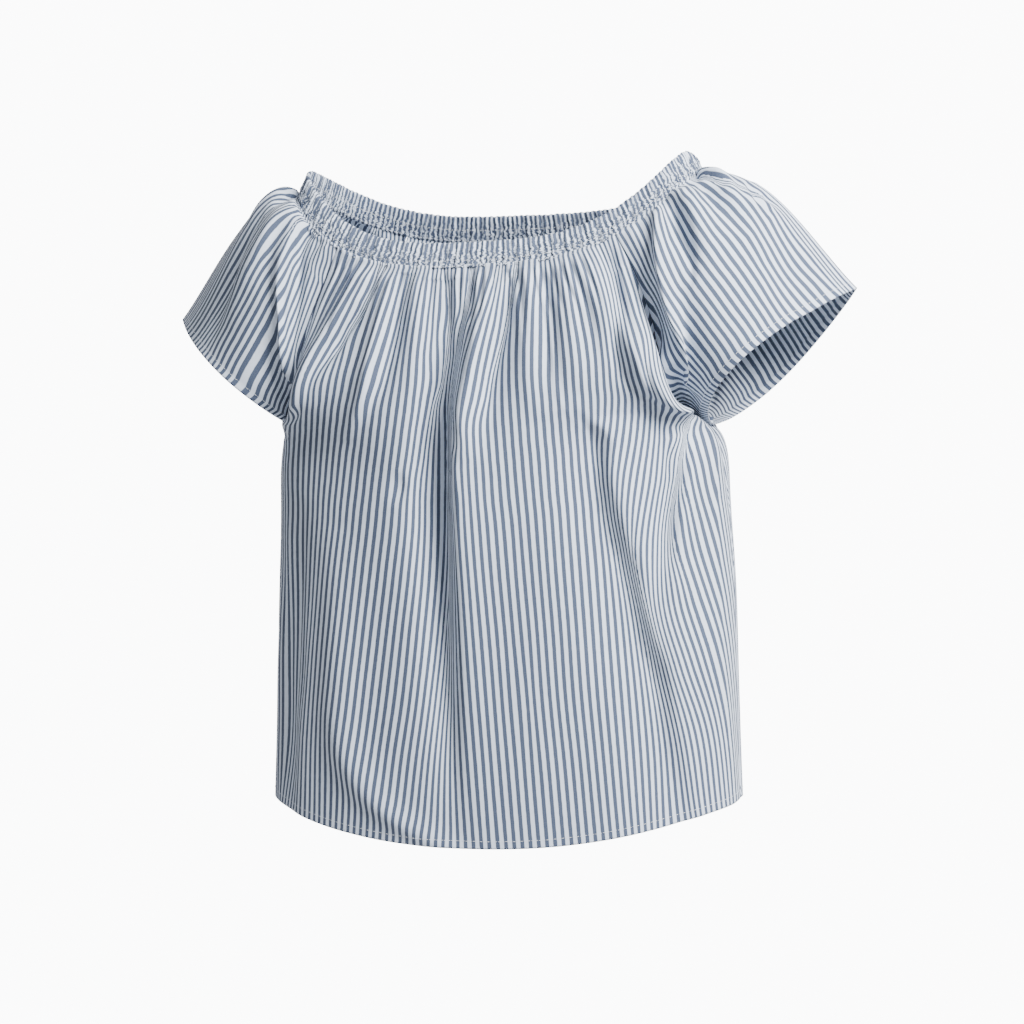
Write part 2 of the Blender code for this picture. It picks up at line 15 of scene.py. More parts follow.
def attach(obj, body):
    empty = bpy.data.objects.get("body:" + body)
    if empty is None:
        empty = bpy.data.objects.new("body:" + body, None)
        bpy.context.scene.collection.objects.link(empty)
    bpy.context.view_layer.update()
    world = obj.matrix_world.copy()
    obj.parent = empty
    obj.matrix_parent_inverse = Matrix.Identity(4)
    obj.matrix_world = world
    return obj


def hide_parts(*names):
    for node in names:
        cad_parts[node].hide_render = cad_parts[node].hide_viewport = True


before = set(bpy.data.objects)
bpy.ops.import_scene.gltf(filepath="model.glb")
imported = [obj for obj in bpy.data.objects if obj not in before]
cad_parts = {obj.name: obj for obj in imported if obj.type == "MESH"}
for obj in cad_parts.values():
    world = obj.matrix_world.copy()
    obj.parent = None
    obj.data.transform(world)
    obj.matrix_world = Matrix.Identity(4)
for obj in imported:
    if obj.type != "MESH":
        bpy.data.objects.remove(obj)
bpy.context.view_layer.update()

MM = 0.001

# Cloth
CLOTH = 0.45 * MM
HEM_CLOTH = 1.3 * MM
HEM_DEPTH = 0.007
ALLOWANCE = 0.006
TUCK_IN = 0.9
TUCK_UP = 3.0 * MM
STRIPE = 0.0069
SEAM_GAP = 0.0003
EDGE_CLEARANCE = 0.00025
CORNER_CLEARANCE = 0.0006

# Neck ring and casing, as in the CAD part
NECK_HALF_WIDTH = 0.179
NECK_HALF_DEPTH = 0.099
NECK_POWER = 0.632
NECK_SHOULDER_RISE = 0.027
NECK_FRONT_RISE = -0.058
NECK_BACK_RISE = -0.003
NECK_RISE_POWER = 2.06
CASING_DEPTH = 0.024
CASING_FLARE_SIDE = 0.009
CASING_FLARE_FRONT = 0.0125
CASING_THICK = 0.0021
NECK_TILT = -0.020
TILT_REACH = 0.16
SEAM_ANGLE = 1.006

# Seams of the left half, as in the CAD part
UNDERARM = (0.180, 0.004, -0.218)
FRONT_SEAM_HANDLES = ((0.190, -0.112, -0.182), (0.166, -0.146, -0.196))
BACK_SEAM_HANDLES = ((0.188, 0.118, -0.165), (0.172, 0.140, -0.196))
SIDE_SEAM_HANDLES = ((0.217, -0.006, -0.240), (0.2095, -0.032, -0.400))

# Hem and body, as in the CAD part
HEM_HALF_WIDTH = 0.2145
HEM_CENTRE_Y = -0.036
HEM_LEVEL = -0.580
HEM_SIDE_RISE = 0.034
HEM_POWER = 0.874
HEM_RISE_POWER = 2.17
SWELL = 0.015
SWELL_REACH = 0.10
PROFILE_LEVELS = (0.00, 0.10, 0.25, 0.45, 0.70, 1.00)
PROFILE_FRONT = (-0.1115, -0.1220, -0.1340, -0.1380, -0.1370, -0.1360)
PROFILE_BACK = (0.1115, 0.1150, 0.1130, 0.1040, 0.0960, 0.0920)

# Sleeve, as in the CAD part
CUFF_TIP = (0.321, -0.005, -0.102)
CUFF_UNDERARM = (0.190, 0.005, -0.2185)
CUFF_FRONT = (0.230, -0.103, -0.173)
CUFF_BACK = (0.241, 0.090, -0.175)
CUFF_POWER = 1.75
PUFF_OUT = 0.75
PUFF_ASIDE = 0.80
PUFF_RISE = 0.62
PUFF_DROP = 0.25
PUFF_LENGTH = 0.25
PUFF_LENGTH_OVER = 0.10
CUFF_LENGTH = 0.30
EDGE_PULL_POWER = 3.0
RAGLAN_SHARE = 0.37
SLEEVE_SEAM_SHARE = 0.955
UNDERARM_EASE = 0.045

# Rows and columns of the cloth
RAGLAN_ROWS = 92
ROW_CROWDING = 1.3
SIDE_ROWS = 74
HEM_ROWS = 4
CUFF_ROWS = 4
BODY_COLUMNS = 272
SLEEVE_COLUMNS = 156
CASING_COLUMNS = 940
DENSE = 720
LATTICE = 257

# How much wider the casing's cut is than its ring, and the lengths of body and sleeve
CASING_FULLNESS = 0.42
BODY_LENGTH = 0.53
SLEEVE_LENGTH = 0.21

# Folds. Each has a path of (level, share across, height in mm), then the reach of its left and right
# flanks and how far its crest leans across, in mm. Level runs from the casing (0) to the hem or cuff
# (1), share from the wearer's right side seam (-1) to the left one (1) or, on a sleeve, from the
# front seam (-1) to the back one (1). A height above 0 is a ridge, below 0 a trough.
FRONT_FOLDS = (
    (((.02, -.15, -2), (.11, -.115, -9), (.17, -.12, -15), (.28, -.108, -22), (.44, -.093, -22),
      (.58, -.08, -16), (.75, -.075, -9), (.87, -.07, -4), (1, -.065, -1)), 20, 12, 0),
    (((.20, -.025, 0), (.28, -.030, 4), (.44, -.012, 6), (.60, -.012, 5), (.80, -.020, 2),
      (1, -.02, 0)), 8, 26, -3),
    (((.00, .185, 3), (.078, .115, 8), (.148, .070, 11), (.216, .030, 11), (.28, .008, 8),
      (.34, -.005, 0)), 11, 11, -3),
    (((.01, .275, -2), (.08, .21, -5.5), (.15, .16, -6.5), (.236, .115, -5.5), (.286, .085, -3),
      (.34, .07, 0)), 8, 12, 0),
    (((.00, .395, 3), (.10, .335, 5), (.19, .305, 4), (.28, .300, 0)), 10, 10, 0),
    (((.00, .47, -3), (.05, .460, -4.5), (.154, .41, -3.5), (.22, .40, 0)), 7, 7, 0),
    (((.00, .62, 3), (.09, .565, 5.5), (.156, .535, 4), (.23, .52, 0)), 10, 10, 0),
    (((.00, .75, 4), (.064, .745, 7), (.13, .775, 9), (.214, .835, 9), (.30, .86, 4),
      (.37, .87, 0)), 12, 14, 2),
    (((.00, .885, -3), (.018, .88, -5), (.056, .855, -6), (.094, .84, -5), (.16, .83, 0)), 7, 8, 0),
    (((.06, .79, 0), (.108, .775, -4), (.16, .755, -5), (.222, .77, -4), (.28, .82, 0)), 6, 7, 0),
    (((.00, -.69, 4), (.078, -.745, 7), (.182, -.84, 8), (.24, -.88, 4), (.30, -.90, 0)), 11, 11, -2),
    (((.06, -.65, 0), (.094, -.675, -4), (.14, -.755, -6), (.178, -.805, -5), (.24, -.85, 0)), 7, 8, 0),
    (((.00, -.52, 4), (.106, -.485, 7), (.232, -.49, 7), (.32, -.49, 0)), 12, 11, -2),
    (((.01, -.43, -3), (.124, -.41, -6), (.176, -.42, -6), (.236, -.45, -4), (.31, -.47, 0)), 7, 8, 0),
    (((.00, -.335, 4), (.09, -.29, 6), (.168, -.265, 4), (.25, -.25, 0)), 10, 10, 0),
    (((.04, .97, 2), (.10, .955, 7), (.168, .94, 12), (.222, .905, 14), (.28, .85, 13),
      (.334, .77, 9), (.40, .68, 4), (.46, .63, 0)), 16, 8, 3),
    (((.26, .46, 0), (.31, .455, -4), (.40, .405, -7), (.486, .43, -8), (.554, .475, -8), (.62, .505, -8),
      (.694, .545, -8), (.756, .59, -7), (.816, .61, -6), (.874, .63, -5), (.918, .65, -4), (1, .68, -2)),
     30, 8, 0),
    (((.28, .53, 0), (.31, .53, 4), (.40, .47, 7), (.486, .50, 8), (.554, .545, 8), (.62, .575, 8),
      (.694, .615, 8), (.756, .66, 7), (.816, .68, 6), (.874, .70, 5), (.918, .72, 4), (1, .75, 2)),
     8, 30, -3),
    (((.37, .65, 0), (.41, .64, -4), (.45, .625, -6), (.518, .615, -6), (.576, .605, -4),
      (.66, .60, 0)), 16, 7, 0),
    (((.36, .71, 0), (.41, .70, 5), (.45, .69, 7), (.518, .68, 7), (.576, .67, 5),
      (.66, .67, 0)), 7, 24, -2),
    (((.58, .68, 0), (.65, .735, 3), (.83, .83, 5), (.946, .865, 4), (1, .87, 3)), 16, 18, 0),
    (((.36, -.24, 0), (.385, -.235, -3), (.42, -.24, 0)), 8, 6, 0),
    (((.12, -.93, 0), (.20, -.92, 6), (.27, -.91, 12), (.34, -.905, 18), (.37, -.905, 17), (.40, -.91, 12),
      (.45, -.92, 8), (.52, -.92, 5), (.60, -.92, 2), (.72, -.92, 0)), 26, 30, 0),
    (((.48, -.47, 0), (.588, -.47, 4), (.72, -.475, 7), (.828, -.475, 8), (.89, -.43, 8),
      (.934, -.36, 6), (.976, -.22, 4), (1, -.12, 2)), 20, 24, 0),
    (((.45, -.64, 0), (.568, -.665, -5), (.726, -.70, -7), (.838, -.72, -6), (.95, -.73, -4),
      (1, -.73, -2)), 24, 12, 0),
)
BACK_FOLDS = (
    (((.02, .050, -3), (.12, .065, -8), (.30, .085, -12), (.55, .10, -12), (.80, .115, -8),
      (1, .12, -4)), 18, 26, 0),
    (((.00, -.240, 4), (.08, -.205, 7), (.18, -.165, 7), (.32, -.12, 0)), 12, 12, 2),
    (((.00, .330, 4), (.07, .345, 7), (.16, .365, 6), (.30, .40, 0)), 12, 12, 0),
    (((.01, -.470, -3), (.08, -.49, -5), (.18, -.515, -5), (.30, -.54, 0)), 9, 12, 0),
    (((.00, -.650, 4), (.08, -.69, 6), (.15, -.72, 5), (.25, -.76, 0)), 11, 11, 0),
    (((.00, .620, 4), (.07, .65, 6), (.15, .68, 5), (.26, .72, 0)), 11, 11, 0),
    (((.01, .50, -3), (.07, .51, -5), (.16, .53, -4), (.24, .54, 0)), 8, 8, 0),
    (((.00, -.06, 3), (.09, -.045, 5), (.20, -.04, 3), (.30, -.03, 0)), 10, 10, 0),
    (((.30, -.400, 0), (.42, -.41, -6), (.60, -.42, -9), (.85, -.48, -7), (1, -.52, -4)), 20, 30, 0),
    (((.32, -.240, 0), (.50, -.25, 6), (.70, -.27, 7), (1, -.30, 4)), 26, 22, 0),
    (((.30, .520, 0), (.45, .54, -6), (.65, .56, -8), (.85, .58, -6), (1, .60, -3)), 26, 18, 0),
    (((.36, .360, 0), (.50, .365, 5), (.70, .38, 6), (1, .38, 4)), 24, 24, 0),
    (((.30, -.84, 0), (.36, -.76, -5), (.44, -.68, -5), (.54, -.62, 0)), 9, 16, 0),
    (((.30, .84, 0), (.36, .77, -5), (.46, .70, -5), (.56, .66, 0)), 16, 9, 0),
)
LEFT_SLEEVE_FOLDS = (
    (((.00, -.69, 3), (.08, -.74, 8), (.16, -.80, 11), (.26, -.845, 13), (.41, -.865, 13), (.56, -.86, 11),
      (.70, -.82, 8), (.80, -.77, 5), (.95, -.72, 0)), 8, 18, -5),
    (((.00, -.60, -4), (.10, -.64, -7), (.19, -.675, -9), (.30, -.66, -8), (.38, -.645, -6),
      (.50, -.63, 0)), 8, 9, 0),
    (((.00, -.535, 4), (.17, -.55, 7), (.34, -.55, 6), (.45, -.52, 3), (.58, -.49, 0)), 10, 13, 0),
    (((.01, -.42, -3), (.104, -.405, -6), (.32, -.395, -7), (.42, -.365, -5), (.54, -.34, 0)), 9, 11, 0),
    (((.00, -.19, 3), (.15, -.26, 6), (.34, -.32, 6), (.54, -.305, 3), (.68, -.30, 0)), 11, 14, 0),
    (((.28, -.10, 0), (.34, -.12, -4), (.372, -.125, -5), (.42, -.14, -4), (.52, -.16, 0)), 8, 10, 0),
    (((.00, .06, -3), (.10, .04, -4), (.20, .02, -3), (.30, .01, 0)), 8, 10, 0),
    (((.00, .30, 4), (.12, .31, 6), (.28, .33, 5), (.45, .35, 0)), 11, 12, 0),
    (((.00, .42, -3), (.12, .44, -6), (.30, .47, -5), (.46, .50, 0)), 9, 10, 0),
    (((.00, .64, 4), (.12, .68, 8), (.30, .74, 8), (.52, .79, 6), (.75, .80, 0)), 14, 16, 2),
    (((.40, -.18, 0), (.60, -.20, -3), (.80, -.22, -4), (1, -.24, -3)), 20, 24, 0),
)
RIGHT_SLEEVE_FOLDS = (
    (((.00, -.62, 3), (.14, -.70, 8), (.29, -.725, 10), (.36, -.75, 9), (.42, -.83, 7),
      (.50, -.90, 4), (.62, -.95, 0)), 8, 15, -3),
    (((.02, -.76, -3), (.132, -.79, -6), (.228, -.87, -6), (.36, -.93, -4), (.50, -.97, 0)), 10, 8, 0),
    (((.00, -.48, 3), (.09, -.53, 6), (.20, -.54, 8), (.34, -.535, 8), (.44, -.50, 6),
      (.60, -.45, 3), (.78, -.43, 0)), 11, 12, 0),
    (((.18, -.36, 0), (.28, -.35, -4), (.372, -.34, -5), (.50, -.34, -6), (.64, -.35, -5),
      (.85, -.36, -2), (1, -.37, 0)), 10, 14, 0),
    (((.00, -.30, -3), (.09, -.33, -5), (.18, -.36, -3), (.26, -.37, 0)), 8, 9, 0),
    (((.00, -.17, 3), (.10, -.19, 5), (.24, -.20, 4), (.40, -.21, 0)), 11, 12, 0),
    (((.00, .05, -3), (.10, .04, -4), (.22, .03, 0)), 8, 10, 0),
    (((.00, .26, 4), (.12, .27, 6), (.28, .30, 5), (.42, .32, 0)), 11, 12, 0),
    (((.00, .45, -3), (.14, .47, -6), (.30, .50, -5), (.44, .52, 0)), 9, 10, 0),
    (((.00, .62, 4), (.12, .67, 8), (.30, .73, 8), (.55, .80, 5), (.78, .82, 0)), 14, 16, 2),
)

FOLDS = {"front": FRONT_FOLDS, "back": BACK_FOLDS,
         "sleeve_left": LEFT_SLEEVE_FOLDS, "sleeve_right": RIGHT_SLEEVE_FOLDS}
SEEDS = {"front": 11, "back": 23, "sleeve_left": 37, "sleeve_right": 41}
AWAY = {"front": (0, -1, 0), "back": (0, 1, 0), "sleeve_left": (1, 0, 0), "sleeve_right": (-1, 0, 0)}

# Guides that follow single stripes down a panel: their numbers, then at each level their shares
# across, in thousandths. A row that stops short runs on by STRIPE_STEP for each stripe. Where two
# guides draw together, the cloth between them is hidden in a crease.
FRONT_STRIPES = (
    (-37, -34, -32, -30, -29, -27, -26, -24, -22, -21, -20, -18, -16, -14, -13, -12, -10, -9, -7, -3, -1, 0,
     1, 2, 4, 5, 6, 7, 8, 10, 12, 15, 18, 20, 22, 24, 26, 27, 28, 29, 30, 31, 32, 34, 37, 40, 42, 43, 44,
     45, 46),
    ((0.00, (-1024, -845, -701, -648, -630, -593, -575, -517, -457, -413, -395, -338, -282, -224, -199,
      -180, -129, -100, -11, 29, 93, 160, 186, 206, 243, 285, 302, 315, 325, 401, 477, 565, 659, 721, 783,
      845, 907, 938, 969, 1000)),
     (0.03, (-1016, -839, -709, -645, -633, -608, -595, -504, -452, -418, -399, -334, -273, -220, -190,
      -161, -127, -96, -19, 9, 79, 142, 163, 185, 223, 247, 267, 277, 289, 381, 448, 549, 646, 718, 782,
      846, 897, 919, 940, 980, 1010)),
     (0.07, (-1004, -847, -725, -666, -654, -630, -617, -497, -443, -416, -400, -328, -262, -213, -181,
      -139, -121, -87, -35, -6, 60, 106, 136, 153, 198, 223, 228, 233, 237, 348, 417, 523, 630, 704, 769,
      822, 862, 880, 913, 953, 992, 1016)),
     (0.11, (-977, -864, -752, -710, -700, -679, -630, -500, -438, -415, -394, -330, -255, -205, -180, -145,
      -122, -115, -65, -41, 13, 63, 104, 127, 170, 191, 197, 202, 224, 321, 396, 506, 618, 697, 750, 789,
      831, 857, 894, 922, 950, 978, 1004)),
     (0.15, (-962, -885, -796, -745, -727, -672, -630, -513, -443, -419, -397, -330, -255, -203, -171, -148,
      -132, -118, -83, -63, -14, 14, 76, 100, 142, 155, 162, 180, 213, 303, 379, 496, 612, 685, 735, 766,
      813, 846, 887, 907, 927, 948)),
     (0.19, (-991, -980, -827, -783, -749, -674, -634, -538, -453, -429, -404, -329, -253, -195, -174, -156,
      -147, -132, -101, -89, -38, -10, 50, 77, 114, 125, 143, 170, 210, 292, 366, 486, 599, 668, 724, 762,
      809, 842, 853, 873, 893, 912, 931, 970, 1020, 1090)),
     (0.23, (-929, -863, -820, -762, -731, -662, -626, -539, -464, -437, -404, -325, -253, -202, -187, -178,
      -159, -135, -113, -106, -49, -16, 32, 58, 95, 109, 133, 168, 207, 283, 355, 465, 570, 634, 691, 745,
      793, 815, 827, 846, 864, 883, 901, 939, 994)),
     (0.28, (-899, -827, -773, -711, -679, -613, -579, -502, -445, -412, -377, -307, -243, -201, -188, -177,
      -147, -123, -108, -71, -21, -9, 13, 33, 71, 96, 127, 160, 194, 260, 324, 419, 508, 558, 608, 662, 713,
      735, 752, 773, 794, 815, 836, 878, 941, 1004)),
     (0.31, (-879, -801, -745, -679, -647, -582, -550, -486, -426, -393, -359, -294, -234, -196, -183, -172,
      -139, -117, -103, -63, -22, -10, 9, 27, 68, 95, 124, 154, 184, 245, 304, 392, 471, 513, 560, 609, 657,
      678, 698, 712, 733, 754, 775, 812, 855, 895, 920, 945, 970, 995, 1020)),
     (0.34, (-868, -789, -724, -650, -617, -555, -526, -468, -409, -376, -345, -283, -227, -190, -177, -165,
      -132, -111, -98, -91, -39, -20, 3, 24, 69, 94, 120, 148, 176, 233, 288, 370, 442, 472, 516, 563, 608,
      628, 648, 664, 678, 697, 716, 744, 768, 786, 800, 842, 885, 930, 1000)),
     (0.37, (-864, -786, -702, -624, -593, -535, -507, -452, -396, -366, -336, -276, -223, -187, -173, -159,
      -126, -106, -93, -84, -39, -17, 5, 25, 69, 93, 118, 144, 170, 224, 276, 353, 423, 447, 484, 528, 571,
      592, 611, 628, 643, 664, 686, 708, 713, 718, 721, 764, 808, 857, 976)),
     (0.40, (-852, -768, -677, -606, -577, -523, -496, -445, -390, -361, -333, -275, -223, -185, -171, -157,
      -122, -104, -90, -82, -47, -10, 8, 28, 70, 93, 118, 143, 169, 221, 270, 346, 415, 437, 466, 504, 547,
      568, 589, 607, 625, 639, 649, 682, 686, 691, 712, 743, 784, 840, 922)),
     (0.45, (-834, -740, -661, -597, -571, -522, -497, -448, -395, -367, -338, -280, -226, -184, -168, -154,
      -119, -102, -87, -79, -33, -7, 12, 33, 76, 100, 123, 150, 173, 224, 273, 347, 418, 441, 463, 489, 527,
      549, 571, 593, 613, 630, 644, 666, 670, 684, 724, 761, 804, 856, 967)),
     (0.54, (-812, -757, -693, -620, -587, -539, -515, -466, -415, -389, -361, -304, -248, -198, -177, -158,
      -120, -105, -84, -77, -23, -1, 20, 41, 85, 109, 134, 159, 184, 234, 283, 358, 434, 471, 493, 511, 530,
      537, 554, 575, 596, 614, 628, 647, 663, 734, 806, 846, 899, 1000)),
     (0.64, (-835, -755, -702, -629, -605, -566, -543, -488, -440, -415, -390, -336, -280, -226, -201, -176,
      -134, -118, -95, -73, -21, 4, 26, 50, 97, 122, 147, 173, 199, 248, 298, 372, 448, 495, 529, 551, 566,
      573, 582, 592, 603, 616, 628, 657, 714, 806, 886, 934, 1008)),
     (0.75, (-890, -756, -714, -645, -636, -597, -575, -522, -471, -446, -421, -370, -315, -259, -231, -205,
      -159, -140, -110, -66, -17, 9, 34, 59, 109, 134, 164, 191, 212, 263, 312, 388, 464, 514, 558, 592,
      614, 623, 634, 645, 657, 670, 685, 722, 783, 894, 1000)),
     (0.87, (-895, -757, -722, -687, -669, -627, -606, -562, -508, -480, -455, -404, -354, -301, -274, -247,
      -195, -172, -131, -60, -8, 19, 46, 71, 125, 152, 179, 205, 232, 284, 335, 410, 484, 532, 580, 623,
      658, 674, 687, 702, 720, 740, 761, 799, 849, 972, 1024)),
     (1.00, (-852, -792, -752, -713, -693, -642, -619, -573, -525, -501, -477, -428, -378, -328, -303, -279,
      -229, -203, -151, -50, 4, 31, 57, 87, 141, 168, 195, 222, 249, 302, 354, 431, 503, 546, 588, 629, 681,
      704, 722, 739, 756, 776, 795, 834, 888, 1000))),
)
LEFT_SLEEVE_STRIPES = (
    (-21, -20, -19, -18, -17, -16, -15, -13, -11, -10, -9, -8, -7, -6, -5, -4, -3, -2, -1, 0, 2),
    ((0.00, (-850, -800, -761, -721, -689, -657, -624, -560, -496, -457, -418, -380, -319, -304, -289, -274,
      -260, -245, -222, -200, 0)),
     (0.05, (-860, -810, -776, -742, -693, -672, -652, -581, -516, -457, -423, -389, -348, -331, -314, -297,
      -280, -263, -217, -170, 0)),
     (0.12, (-880, -830, -800, -771, -726, -701, -677, -607, -549, -499, -455, -411, -361, -313, -308, -302,
      -296, -290, -215, -140, 0)),
     (0.20, (-910, -860, -823, -781, -748, -723, -685, -615, -545, -509, -478, -400, -366, -324, -318, -312,
      -306, -300, -200, -100, 0)),
     (0.29, (-905, -850, -818, -781, -747, -712, -676, -602, -532, -496, -453, -389, -364, -338, -313, -290,
      -268, -246, -158, -70, 0)),
     (0.39, (-860, -819, -790, -756, -719, -680, -640, -569, -505, -469, -425, -371, -344, -314, -252, -171,
      -87, -83, -79, -55, 0)),
     (0.50, (-815, -768, -729, -691, -654, -619, -586, -526, -461, -424, -386, -349, -319, -279, -216, -161,
      -120, -90, -68, -50, 0)),
     (0.62, (-745, -695, -659, -625, -595, -567, -538, -481, -421, -388, -356, -324, -289, -247, -203, -167,
      -133, -98, -72, -50, 0)),
     (0.75, (-675, -635, -606, -579, -553, -528, -502, -447, -392, -361, -333, -304, -271, -235, -199, -165,
      -129, -90, -68, -50, 0)),
     (0.88, (-635, -603, -578, -553, -529, -505, -479, -428, -377, -351, -325, -293, -255, -220, -186, -152,
      -116, -85, -65, -50, 0)),
     (1.00, (-634, -602, -577, -551, -527, -502, -477, -429, -378, -348, -322, -288, -251, -216, -185, -157,
      -105, -83, -65, -50, 0))),
)
RIGHT_SLEEVE_STRIPES = (
    (-23, -22, -21, -20, -19, -18, -17, -16, -15, -14, -9, -5, -3, 0),
    ((0.00, (-820, -790, -775, -756, -738, -702, -667, -631, -596, -560, -400, -200, -120, 0)),
     (0.05, (-850, -820, -789, -768, -748, -717, -651, -645, -596, -575, -390, -210, -125, 0)),
     (0.12, (-875, -845, -805, -783, -762, -737, -681, -671, -631, -575, -380, -220, -130, 0)),
     (0.20, (-918, -863, -821, -795, -768, -740, -699, -666, -633, -570, -365, -225, -135, 0)),
     (0.29, (-909, -872, -834, -795, -755, -723, -678, -637, -610, -560, -355, -215, -130, 0)),
     (0.39, (-903, -860, -817, -749, -713, -668, -627, -593, -566, -540, -350, -205, -125, 0)),
     (0.50, (-853, -808, -763, -688, -650, -614, -579, -550, -524, -498, -345, -195, -120, 0)),
     (0.62, (-760, -723, -687, -623, -593, -563, -533, -505, -483, -457, -330, -180, -110, 0)),
     (0.75, (-699, -665, -631, -577, -550, -523, -494, -466, -443, -417, -310, -160, -100, 0)),
     (0.88, (-662, -630, -598, -550, -524, -498, -470, -443, -418, -392, -290, -140, -90, 0)),
     (1.00, (-655, -625, -595, -545, -523, -495, -471, -447, -420, -394, -272, -125, -80, 0))),
)
STRIPE_STEP = 20

# How close two guides can come, then how deep cloth is hidden where stripes crowd, and from what
# crowding on. Guides are trusted between two shares across, and past them the cloth is stretched
# by the third number.
STRIPE_SQUEEZE = 0.0015
HIDDEN_DEPTH = 4.5 * MM
HIDDEN_FROM = 1.25
HIDDEN_RANGE = 1.5
BODY_TRUST = (-0.80, 0.86, 0.85)
BACK_TRUST = (-0.80, 0.60, 1.0)
SLEEVE_TRUST = (-0.86, 0.86, 1.2)

# Casing: ribs round it, how far down its two rows of stitches pull it in, its rows of points, and
# which of them are sewn (two outside, then two inside)
RIBS = 168
BROAD_RIBS = 97
LOW_STITCHES = 0.0215
HIGH_STITCHES = 0.0118
STITCH_REACH = 0.0016
CASING_OUTER_ROWS = 19
CASING_INNER_ROWS = 13
SEWN_ROWS = ((1, 1.0), (5, 1.0), (28, -1.0), (33, -1.0))

# One stitch: places along it, its height over the cloth and its width, as shares
STITCH_SHARES = np.array((0.0, 0.18, 0.5, 0.82, 1.0))
STITCH_HEIGHTS = np.array((-0.7, 0.55, 1.0, 0.55, -0.7))
STITCH_WIDTHS = np.array((0.55, 0.95, 1.0, 0.95, 0.55))
SPOKES = 6
FLATTENED = 0.8

# The valley that each raglan seam lies in: (share of the seam, depth in mm), and its reach on the
# body and on the sleeve
SEAM_VALLEYS = {
    "front_left": (((0, 0), (.08, 4), (.25, 12), (.50, 16), (.75, 12), (.93, 5), (1, 0)), 13, 12),
    "front_right": (((0, 0), (.10, 3), (.30, 7), (.55, 9), (.80, 6), (.95, 2), (1, 0)), 12, 14),
    "back_left": (((0, 0), (.15, 2), (.40, 5), (.70, 6), (.92, 3), (1, 0)), 14, 14),
    "back_right": (((0, 0), (.15, 2), (.40, 6), (.70, 5), (.92, 3), (1, 0)), 13, 15),
}
BODY_EDGE_FADE = 0.012
SLEEVE_EDGE_FADE = 0.014
SEAM_GROOVE = 0.8
SEAM_GROOVE_REACH = 1.6

# Gathers under the casing: how many on a body panel and on a sleeve, and how many fine ones to each
BODY_GATHERS = 30
SLEEVE_GATHERS = 17
FINE_GATHERS = 2.3

# Camera, solved from the garment's outline in the photograph
CAMERA_AZIMUTH = math.radians(15.2)
CAMERA_ELEVATION = math.radians(-0.75)
CAMERA_DISTANCE = 1.71
CAMERA_TARGET = (0.003, 0.0, -0.293)
CAMERA_ROLL = math.radians(-1.08)
METRES_PER_PIXEL = 0.00092
FRAME_PIXELS = 1024
SENSOR = 36.0

# Studio: a strong soft light from the upper right, little light from the left, and a bright wall behind
FLOOR_LEVEL = -1.8
FLOOR_RADIUS = 1.5
LIGHT_TARGET = (0.0, 0.0, -0.28)
WALL_LIGHT = 11.0
LIT_SIDE = 0.8
DIM_SIDE = 0.25
KEY_PLACE = (1.55, -1.05, 0.85)
KEY_POWER = 158.0
FILL_PLACE = (-1.9, -1.6, 0.2)
FILL_POWER = 2.0


def signed_power(value, power):
    """Raise a value to a power and keep its sign."""
    return np.sign(value) * np.abs(value) ** power


def smooth_step(value):
    """Ease from 0 to 1 as the value goes from 0 to 1."""
    share = np.clip(value, 0.0, 1.0)
    return share * share * (3.0 - 2.0 * share)


def unit(vectors):
    """Vectors made one long."""
    return vectors / np.maximum(np.linalg.norm(vectors, axis=-1, keepdims=True), 1e-12)


def resample(points, shares):
    """Read a polyline at shares of its length."""
    steps = np.linalg.norm(np.diff(points, axis=0), axis=1)
    reach = np.concatenate(([0.0], np.cumsum(steps)))
    wanted = np.asarray(shares) * reach[-1]
    return np.stack([np.interp(wanted, reach, points[:, axis]) for axis in range(3)], axis=1)


def smooth_table(places, values, wanted):
    """Read a short table with a smooth curve through its rows."""
    places = np.asarray(places, dtype=float)
    values = np.asarray(values, dtype=float)
    slopes = np.gradient(values, places)
    wanted = np.clip(np.asarray(wanted, dtype=float), places[0], places[-1])
    row = np.clip(np.searchsorted(places, wanted, side="right") - 1, 0, len(places) - 2)
    width = places[row + 1] - places[row]
    share = (wanted - places[row]) / width
    rise = (2.0 * share ** 3 - 3.0 * share ** 2 + 1.0) * values[row]
    fall = (3.0 * share ** 2 - 2.0 * share ** 3) * values[row + 1]
    first = (share ** 3 - 2.0 * share ** 2 + share) * width * slopes[row]
    last = (share ** 3 - share ** 2) * width * slopes[row + 1]
    return rise + fall + first + last


def softened(values, rows, columns):
    """A grid of values, averaged with its neighbours along the rows and the columns a number of times."""
    for axis, times in ((0, rows), (1, columns)):
        for _ in range(times):
            edge = np.pad(values, [(1, 1) if axis == place else (0, 0) for place in (0, 1)], mode="edge")
            before, after = (edge[:-2], edge[2:]) if axis == 0 else (edge[:, :-2], edge[:, 2:])
            values = (before + 2.0 * values + after) / 4.0
    return values


